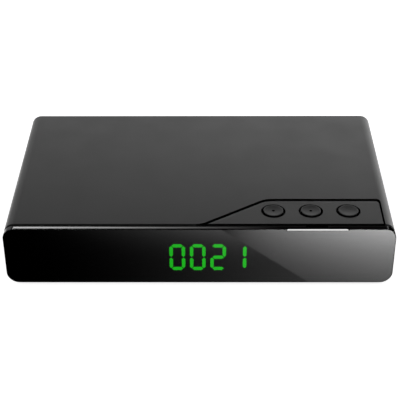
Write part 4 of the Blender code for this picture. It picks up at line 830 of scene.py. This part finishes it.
def make_buttons():
    pieces = (
        ("cap_channel_down", "button_channel_down", "channel_down_button", 1),
        ("cap_channel_up", "button_channel_up", "channel_up_button", 2),
        ("cap_standby", "button_standby", "standby_button", 0),
    )
    dish, shoulder = BUTTON_RADIUS - CAP_ROUND, BUTTON_TOP - CAP_ROUND
    low, high = FLANGE_LOW - FIT - BRIM_HEIGHT, FLANGE_LOW - FIT
    profile = [(0, low - STEM_LENGTH), (STEM_RADIUS, low - STEM_LENGTH), (STEM_RADIUS, low)]
    profile += [(BRIM_RADIUS, low), (BRIM_RADIUS, high), (BUTTON_RADIUS, high)]
    profile += arc((dish, shoulder), CAP_ROUND, 0, math.pi / 2, COARSE_STEP)
    profile += [(dish * s, BUTTON_TOP - DISH_DEPTH * (1 - s * s)) for s in DISH_STEPS]
    for (name, node, body, bars), x in zip(pieces, BUTTON_X):
        cap = turned(name, profile, (x, BUTTON_Y, 0), sides=FINE_SIDES)
        for i in range(bars):
            mark = (about(x, MARK_SIZE[i]), about(BUTTON_Y, MARK_SIZE[1 - i]))
            join(cap, box("mark", *mark, MARK_DEPTHS))
        dress(settled(cap, edge=0.06, angle=50), node, "button_black", CAPS, PAINTED_SHADE_AND_MARKS, body=body)
        # Painted shadow: the cap's sides, and on the near side most of the rounded shoulder, are blackened
        # as a dark crescent
        shade(cap, BUTTON_TOP - 0.45)
        shade(cap, BUTTON_TOP - 0.12, slope=0.8, back=0.3)
        for face in cap.data.polygons:
            u, v, z = spot(face)
            near = math.hypot(u - x, v - BUTTON_Y) < MARK_REACH
            if bars and near and face.normal.z > 0.999 and z > BUTTON_TOP - DISH_DEPTH:
                face.material_index = 1


make_cover()
make_floor()
make_feet()
make_bezel()
make_window()
make_guide()
make_display()
make_plate()
make_buttons()
make_screws()


# ---------------------------------------------------------------- the rear
# Where the sockets stand, and how far back they reach
PANEL_BACK = PANEL[1]
SOCKET_BACK = PANEL_BACK + 0.6
HDMI_X, SCART_X, AUDIO_X, USB_X, POWER_X = -34.1, 6.3, 44.2, 65.6, 86.5
AERIALS = (("aerial_in", -82.0), ("aerial_out", -60.0))
AERIAL_Z = ON_BOARD + 7.5
AUDIO_Z = ON_BOARD + 6.5
POWER_Z = ON_BOARD + 5.5

# Width, height and depth of each socket, and how far its corners are cut off
HDMI_SIZE, HDMI_SLANT, HDMI_ROUND = (15, 6.2, 12), 2, 0.7
SCART_SIZE, SCART_SLANT, SCART_ROUND = (47, 17, 15), 6, 0.6
AUDIO_SIZE = (10, 13, 12)
USB_SIZE = (14, 7, 14)
POWER_SIZE = (9, 11, 14)
SHEET = 0.6
TONGUE_SETBACK = 1.2


def socket_rectangle(x, size, grow):
    return rectangle(*grown(about(x, size[0]), grow), *grown((ON_BOARD, ON_BOARD + size[1]), grow))


def hdmi_outline(grow):
    (left, low), _, (right, high), _ = socket_rectangle(HDMI_X, HDMI_SIZE, grow)
    start, end, side = left + HDMI_SLANT, right - HDMI_SLANT, low + HDMI_SLANT
    corners = [(start, low), (end, low), (right, side), (right, high), (left, high), (left, side)]
    return filleted(corners, [HDMI_ROUND] * 6, COARSE_STEP)


def scart_outline(grow, radius=SCART_ROUND):
    (left, low), _, (right, high), _ = socket_rectangle(SCART_X, SCART_SIZE, grow)
    corners = [(left, low), (right, low), (right - SCART_SLANT, high), (left, high)]
    return filleted(corners, [radius] * 4, COARSE_STEP)


def usb_outline(grow):
    return socket_rectangle(USB_X, USB_SIZE, grow)


def power_outline(grow):
    return socket_rectangle(POWER_X, POWER_SIZE, grow)


# The aerial connectors: profiles as radius and place along Y, from the panel outwards
BARREL_RADIUS = 4.7
BARREL_START = 127.7
THREAD_START, THREAD_END = 132.0, 140.2
THREAD_PITCH = 0.8
THREAD_DEPTH = 0.42
THREAD_SLICES = 6
BARREL_TIP = (
    (4.55, 140.3), (4.3, 140.7), (3.55, 140.7), (3.4, 140.55), (3.4, 139.5), (3.35, 139.5), (1.0, 139.5),
    (0.6, 139.2), (0.6, 132.5), (0, 132.5),
)
DIELECTRIC_RADIUS = 3.38
NUT_RADIUS = 6.4
NUT_BORE = 4.9
NUT_ENDS = (129.5, 131.9)
NUT_LENS = ((0, 129.5), (5.6, 129.5), (6.6, 130.1), (6.6, 131.3), (5.6, 131.9), (0, 131.9))


def thread(t, radius, along):
    """A cut thread: the radius follows a V that climbs one pitch each turn."""
    if radius < 4.5 or not THREAD_START < along < THREAD_END:
        return 0
    phase = (along / THREAD_PITCH - t / (2 * math.pi)) % 1
    return -THREAD_DEPTH * abs(2 * phase - 1)


def make_aerials():
    levels = [THREAD_START + THREAD_PITCH / THREAD_SLICES * i for i in range(1, 62)]
    profile = [(0, BARREL_START), (BARREL_RADIUS, BARREL_START), (BARREL_RADIUS, THREAD_START)]
    profile += [(BARREL_RADIUS, y) for y in levels if y < THREAD_END]
    profile += BARREL_TIP
    for name, x in AERIALS:
        at = (x, 0, AERIAL_Z)
        barrel = turned(f"{name}_barrel", profile, at, "Y", ROUND_SIDES, thread)
        dress(settled(barrel), f"{name}_connector", "nickel", NICKEL, CREAM)
        for face in barrel.data.polygons:
            u, y, v = spot(face)
            inner = math.hypot(u - x, v - AERIAL_Z) < DIELECTRIC_RADIUS
            face.material_index = int(y > THREAD_START and inner)
        nut = rod(f"{name}_hex", NUT_RADIUS, *NUT_ENDS, at, "Y", 6)
        combine(nut, "INTERSECT", turned("lens", NUT_LENS, at, "Y", ROUND_SIDES))
        cut(nut, rod("bore", NUT_BORE, *grown(NUT_ENDS, OVER), at, "Y", ROUND_SIDES))
        dress(settled(nut, edge=0.08), f"{name}_nut", "nickel", NICKEL)


def metal_socket(name, outline, depth, tongue_x, tongue_z, core, edges):
    """A sheet metal shell round a plastic core, which ends in a tongue for the contacts."""
    y = (SOCKET_BACK - depth, SOCKET_BACK)
    shell = prism(f"{name}_shell", outline(0), *y)
    cut(shell, prism("mouth", outline(-SHEET), y[0] + SHEET, y[1] + OVER))
    dress(settled(shell, edge=edges[0]), f"{name}_socket", "nickel", NICKEL)
    inside = SHEET + 0.1
    tongue = box(f"{name}_tongue", tongue_x, (y[0] + inside, y[1] - TONGUE_SETBACK), tongue_z)
    join(tongue, prism("back", outline(-inside), y[0] + inside, y[0] + core))
    dress(settled(tongue, edge=edges[1]), f"{name}_socket", "socket_black", SOCKET)
    return y


def make_hdmi():
    z = about(ON_BOARD + 3.72, 1.0)
    y = metal_socket("hdmi", hdmi_outline, HDMI_SIZE[2], about(HDMI_X, 11), z, 4.0, (0.12, 0.1))
    strips = [rectangle(*about(HDMI_X + i, 0.5), *grown(z, 0.06)) for i in range(-4, 5)]
    contacts = prisms("hdmi_contacts", strips, y[0] + 4.2, y[1] - 1.6)
    dress(settled(contacts, edge=0.03), "hdmi_socket", "nickel", GOLD)


def make_usb():
    top = ON_BOARD + 5.6
    z = (top - 1.9, top)
    y = metal_socket("usb", usb_outline, USB_SIZE[2], about(USB_X, 11.2), z, 3.0, (0.15, 0.12))
    strips = [rectangle(*about(USB_X + x, 1.0), top - 1.98, top - 1.7) for x in (-3.5, -1.0, 1.0, 3.5)]
    contacts = prisms("usb_contacts", strips, y[0] + 3.2, y[1] - 2.2)
    dress(settled(contacts, edge=0.03), "usb_socket", "nickel", GOLD)


# The SCART socket: two staggered rows of slots in a core that stands back in the mouth
SCART_ROWS = ((0, 11.0), (1.7, 6.0))
SCART_FIRST = -17.1
SCART_PITCH = 3.4
SCART_SLOT = (0.9, 2.6)
SCART_MOUTH = 9
CORE_SETBACK = 2.5


def make_scart():
    y = (SOCKET_BACK - SCART_SIZE[2], SOCKET_BACK)
    shell = prism("scart_shell", scart_outline(0), *y)
    cut(shell, prism("mouth", scart_outline(-1.6, 0.3), y[1] - SCART_MOUTH, y[1] + OVER))
    join(shell, prism("core", scart_outline(-3.6, 0.3), y[1] - SCART_MOUTH - LAP, y[1] - CORE_SETBACK))
    slots, plates = [], []
    for i in range(10):
        for shift, up in SCART_ROWS:
            x = about(SCART_X + SCART_FIRST + SCART_PITCH * i + shift, SCART_SLOT[0])
            z = about(ON_BOARD + up, SCART_SLOT[1])
            slots.append(rectangle(*x, *z))
            plates.append(rectangle(*grown(x, -0.3), *grown(z, -0.4)))
    cut(shell, prisms("slots", slots, y[1] - 6.0, y[1]))
    dress(settled(shell, edge=0.12), "scart_socket", "socket_black", SOCKET)
    contacts = prisms("scart_contacts", plates, y[1] - 6.2, y[1] - 3.3)
    dress(settled(contacts, edge=0.03), "scart_socket", "nickel", NICKEL)


# The audio socket: a metal sleeve on an orange block, as radius and place along Y
AUDIO_FRONT = 127.5
AUDIO_COLLAR = (4.15, 131.2)
AUDIO_BORE = 1.6
AUDIO_FILL = (3.05, 136.4)
AUDIO_SLEEVE = (
    (1.6, 131.25), (4.0, 131.25), (4.15, 131.4), (4.15, 137.2), (4.05, 137.55), (3.8, 137.8), (3.3, 137.8),
    (3.15, 137.6), (3.1, 136.6), (1.75, 136.6), (1.6, 136.4), (1.6, 131.25),
)


def make_audio():
    width, height, depth = AUDIO_SIZE
    z = (ON_BOARD, ON_BOARD + height)
    at = (AUDIO_X, 0, AUDIO_Z)
    radius, end = AUDIO_COLLAR
    block = box("audio_block", about(AUDIO_X, width), (AUDIO_FRONT - depth, AUDIO_FRONT), z)
    join(block, rod("collar", radius, AUDIO_FRONT - LAP, end, at, "Y"))
    cut(block, rod("bore", AUDIO_BORE, AUDIO_FRONT, end + OVER, at, "Y", SMALL_SIDES))
    dress(settled(block, edge=0.15), "digital_audio_socket", "audio_orange", ORANGE)
    sleeve = turned("audio_sleeve", AUDIO_SLEEVE, at, "Y", 64)
    dress(settled(sleeve), "digital_audio_socket", "nickel", NICKEL, ORANGE)
    for face in sleeve.data.polygons:
        u, y, v = spot(face)
        inner = math.hypot(u - AUDIO_X, v - AUDIO_Z) < AUDIO_FILL[0]
        face.material_index = int(y > AUDIO_FILL[1] and inner)


# The power jack: its bore and its pin, as radius and distance from the back
POWER_BORE = ((0, 9.5), (3.15, 9.5), (3.15, 0.4), (3.6, -LAP), (0, -LAP))
POWER_PIN = ((0, 9.6), (1.05, 9.6), (1.05, 1.3), (0.85, 0.95), (0.5, 0.8), (0, 0.8))


def make_power():
    jack = prism("power_block", power_outline(0), SOCKET_BACK - POWER_SIZE[2], SOCKET_BACK)
    at = (POWER_X, 0, POWER_Z)
    bore, pin = ([(r, SOCKET_BACK - back) for r, back in shape] for shape in (POWER_BORE, POWER_PIN))
    cut(jack, turned("bore", bore, at, "Y", 64))
    dress(settled(jack, edge=0.2), "power_jack", "socket_black", SOCKET)
    dress(settled(turned("power_pin", pin, at, "Y", 32)), "power_jack", "nickel", NICKEL)


def make_panel():
    panel = prism("socket_panel", case_outline(WALL + FIT), *PANEL)
    ends = grown(PANEL, OVER)
    for name, x in AERIALS:
        cut(panel, rod("way", BARREL_RADIUS + FIT, *ends, (x, 0, AERIAL_Z), "Y"))
    cut(panel, rod("way", AUDIO_COLLAR[0] + FIT, *ends, (AUDIO_X, 0, AUDIO_Z), "Y"))
    for outline in (hdmi_outline, scart_outline, usb_outline, power_outline):
        cut(panel, prism("way", outline(FIT), *ends))
    dress(settled(panel, edge=0.12), "rear_panel", "panel_black", PANEL_PLASTIC)


make_aerials()
make_hdmi()
make_scart()
make_audio()
make_usb()
make_power()
make_panel()

# ---------------------------------------------------------------- pieces that keep their CAD shape
BOARD = textured("board_mask", (0.02, 0.13, 0.05), 0.4, spread=0.25, tone=450, grain=0.3, grain_size=900)
TIN = textured("tin_plate", (0.6, 0.6, 0.58), 0.32, 1.0, spread=0.08, tone=200, grain=0.3, grain_size=700)
CHIP = textured("chip_body", (0.022, 0.022, 0.024), 0.6, spread=0.2, tone=900, grain=0.5, grain_size=3000)
ALUMINIUM = textured("aluminium", (0.7, 0.7, 0.71), 0.38, 1.0, spread=0.06, tone=500, grain=0.3)
FERRITE = textured("ferrite", (0.07, 0.07, 0.075), 0.7, spread=0.2, tone=800, grain=0.8, grain_size=1500)
RIBBON = textured("ribbon", (0.42, 0.42, 0.43), 0.5, spread=0.08, tone=600)
BY_SLOT = {
    "board_green": BOARD,
    "tin_plate": TIN,
    "chip_black": CHIP,
    "aluminium": ALUMINIUM,
    "ferrite_grey": FERRITE,
    "ribbon_grey": RIBBON,
    "screw_steel": STEEL,
    "socket_black": SOCKET,
    "light_guide": LIT_WHITE,
}
for name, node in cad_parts.items():
    for place in node.material_slots:
        if place.material and place.material.name in BY_SLOT:
            place.material = BY_SLOT[place.material.name]


# ---------------------------------------------------------------- the stage
def stage_plane(name, corners, material):
    bm = bmesh.new()
    bm.faces.new([bm.verts.new(Vector(c) * MM) for c in corners])
    mesh = bpy.data.meshes.new(name)
    bm.to_mesh(mesh)
    bm.free()
    obj = bpy.data.objects.new(name, mesh)
    bpy.context.scene.collection.objects.link(obj)
    mesh.materials.append(material)
    return obj


FLOOR_SIZE = 3000
FLOOR_LOOK = textured("floor", (0.86, 0.86, 0.86), 0.9, spread=0.005, tone=3, Specular_IOR_Level=0.0)
floor_sockets = FLOOR_LOOK.node_tree.nodes["Principled BSDF"].inputs
floor_sockets["Emission Color"].default_value = (1, 1, 1, 1)
floor_sockets["Emission Strength"].default_value = 0.82
floor_corners = rectangle(-FLOOR_SIZE, FLOOR_SIZE, -FLOOR_SIZE, FLOOR_SIZE)
stage_plane("floor", [(x, y, 0) for x, y in floor_corners], FLOOR_LOOK)


def reflected_card(name, corners, strength):
    """A studio card that only shows in reflections and through the window.

    Its strength is a number, or a function that maps a place on it, in millimetres, to a brightness.
    """
    material, nodes, links = blank(name)
    nodes.remove(nodes["Principled BSDF"])
    light = nodes.new("ShaderNodeEmission")
    links.new(light.outputs["Emission"], nodes["Material Output"].inputs["Surface"])
    place = nodes.new("ShaderNodeTexCoord")
    split = nodes.new("ShaderNodeSeparateXYZ")
    links.new(place.outputs["Object"], split.inputs["Vector"])

    def calc(operation, a, b=0.0, c=0.0):
        node = nodes.new("ShaderNodeMath")
        node.operation = operation
        for socket, value in zip(node.inputs, (a, b, c)):
            if isinstance(value, (int, float)):
                socket.default_value = value
            else:
                links.new(value, socket)
        return node.outputs["Value"]

    if callable(strength):
        across, along = (calc("DIVIDE", split.outputs[axis], MM) for axis in "XY")
        links.new(strength(calc, across, along), light.inputs["Strength"])
    else:
        light.inputs["Strength"].default_value = strength
    card = stage_plane(name, corners, material)
    card.visible_camera = card.visible_diffuse = False
    card.visible_volume_scatter = card.visible_shadow = False


# Where the camera stands, in millimetres, and how far in front of the window
CAMERA_AT = (5.35, -586.75, 394.3)
FACE_Y = -70.35
CAMERA_AHEAD = 516.4

# The slanted edge that the window mirrors: its place, slant and width on the card
EDGE_X, EDGE_SLANT, EDGE_WIDTH = 66.0, 0.933, 1.5


def front_glow(calc, x, y):
    """What the window mirrors: dark left of a slanted edge, and brighter to the right and further out.

    A place on the card is first traced to the place on the window that mirrors it to the camera.
    """
    ahead = calc("SUBTRACT", FACE_Y, y)
    stretch = calc("MULTIPLY_ADD", ahead, 1 / CAMERA_AHEAD, 1)
    face_x = calc("DIVIDE", calc("MULTIPLY_ADD", ahead, CAMERA_AT[0] / CAMERA_AHEAD, x), stretch)
    near = calc("MINIMUM", ahead, 60)
    # right of the edge
    right = calc("MAXIMUM", calc("MULTIPLY_ADD", face_x, 0.01255, -0.11), 0)
    right = calc("MULTIPLY", right, calc("POWER", 1.0315, near))
    # left of the edge
    share = calc("MAXIMUM", calc("DIVIDE", calc("ADD", face_x, WIDTH / 2), 150), 0)
    rise = calc("MULTIPLY_ADD", calc("POWER", calc("DIVIDE", near, 50), 4), 0.87, 0.32)
    left = calc("MULTIPLY", calc("POWER", share, 2.8), rise)
    # the edge itself
    beyond = calc("MULTIPLY_ADD", ahead, EDGE_SLANT, calc("SUBTRACT", x, EDGE_X))
    side = calc("ADD", calc("DIVIDE", beyond, EDGE_WIDTH), 0.5)
    side = calc("MINIMUM", calc("MAXIMUM", side, 0), 1)
    return calc("ADD", calc("MULTIPLY", right, side), calc("MULTIPLY", left, calc("SUBTRACT", 1, side)))


def back_glow(calc, x, y):
    """What the cover mirrors: a little brighter towards the right, and weaker again far out."""
    return calc("MINIMUM", calc("MULTIPLY_ADD", x, 0.002, 1.22), calc("MULTIPLY_ADD", x, -0.002, 1.9))


def top_glow(calc, x, y):
    """What the bezel's top side mirrors: bright at the left, fading to black right of the middle."""
    share = calc("MAXIMUM", calc("DIVIDE", calc("SUBTRACT", 129.0, x), 449.0), 0)
    return calc("MULTIPLY", calc("POWER", share, 1.5), 7.7)


# Each upright card runs from one place on the floor plan to another, between two heights
reflected_card("floor_card", [(-500, -620, 0.3), (500, -620, 0.3), (500, -71.5, 0.3), (-500, -71.5, 0.3)],
               front_glow)
UPRIGHT_CARDS = (
    ("high_card", (-450, 1000), (420, 1000), (763, 778), top_glow),
    ("back_card", (-500, 300), (500, 300), (1, 250), back_glow),
    ("left_card", (-950, 800), (-450, 1100), (1, 240), 3.9),
    ("right_card", (1080, 450), (817, 778), (1, 520), 6.5),
    ("front_card", (60, -621), (600, -621), (1, 900), 5.0),
)
for name, start, end, (low, high), strength in UPRIGHT_CARDS:
    reflected_card(name, [(*start, low), (*end, low), (*end, high), (*start, high)], strength)

# The room is dimmer in reflections and through the window than as light
world = bpy.data.worlds.new("studio")
world.use_nodes = True
world_nodes, world_links = world.node_tree.nodes, world.node_tree.links
ray = world_nodes.new("ShaderNodeLightPath")
reflected = world_nodes.new("ShaderNodeMapRange")
reflected.inputs["To Min"].default_value = 0.5
reflected.inputs["To Max"].default_value = 0.06
either = world_nodes.new("ShaderNodeMath")
either.operation = "MAXIMUM"
world_links.new(ray.outputs["Is Glossy Ray"], either.inputs[0])
world_links.new(ray.outputs["Is Transmission Ray"], either.inputs[1])
world_links.new(either.outputs["Value"], reflected.inputs["Value"])
world_links.new(reflected.outputs["Result"], world_nodes["Background"].inputs["Strength"])
world_nodes["Background"].inputs["Color"].default_value = (1, 1, 1, 1)
bpy.context.scene.world = world
bpy.context.scene.view_settings.view_transform = "Standard"

# ---------------------------------------------------------------- the camera
# The focal length in pixels of the photo, and the angles, from the fit to the photo
FOCAL_PIXELS = 1127.9
IMAGE_PIXELS = 400
PITCH, YAW, ROLL = math.radians(33.0), math.radians(-0.528), math.radians(-0.308)
forward = Vector((math.sin(YAW) * math.cos(PITCH), math.cos(YAW) * math.cos(PITCH), -math.sin(PITCH)))
level = Vector((math.cos(YAW), -math.sin(YAW), 0))
upward = level.cross(forward)
right = level * math.cos(ROLL) + upward * math.sin(ROLL)
up = upward * math.cos(ROLL) - level * math.sin(ROLL)
lens = bpy.data.cameras.new("camera")
lens.sensor_width = 36.0
lens.lens = FOCAL_PIXELS / IMAGE_PIXELS * lens.sensor_width
camera = bpy.data.objects.new("camera", lens)
turn = Matrix((right, up, -forward)).transposed().to_4x4()
camera.matrix_world = Matrix.Translation(Vector(CAMERA_AT) * MM) @ turn
bpy.context.scene.collection.objects.link(camera)
bpy.context.scene.camera = camera
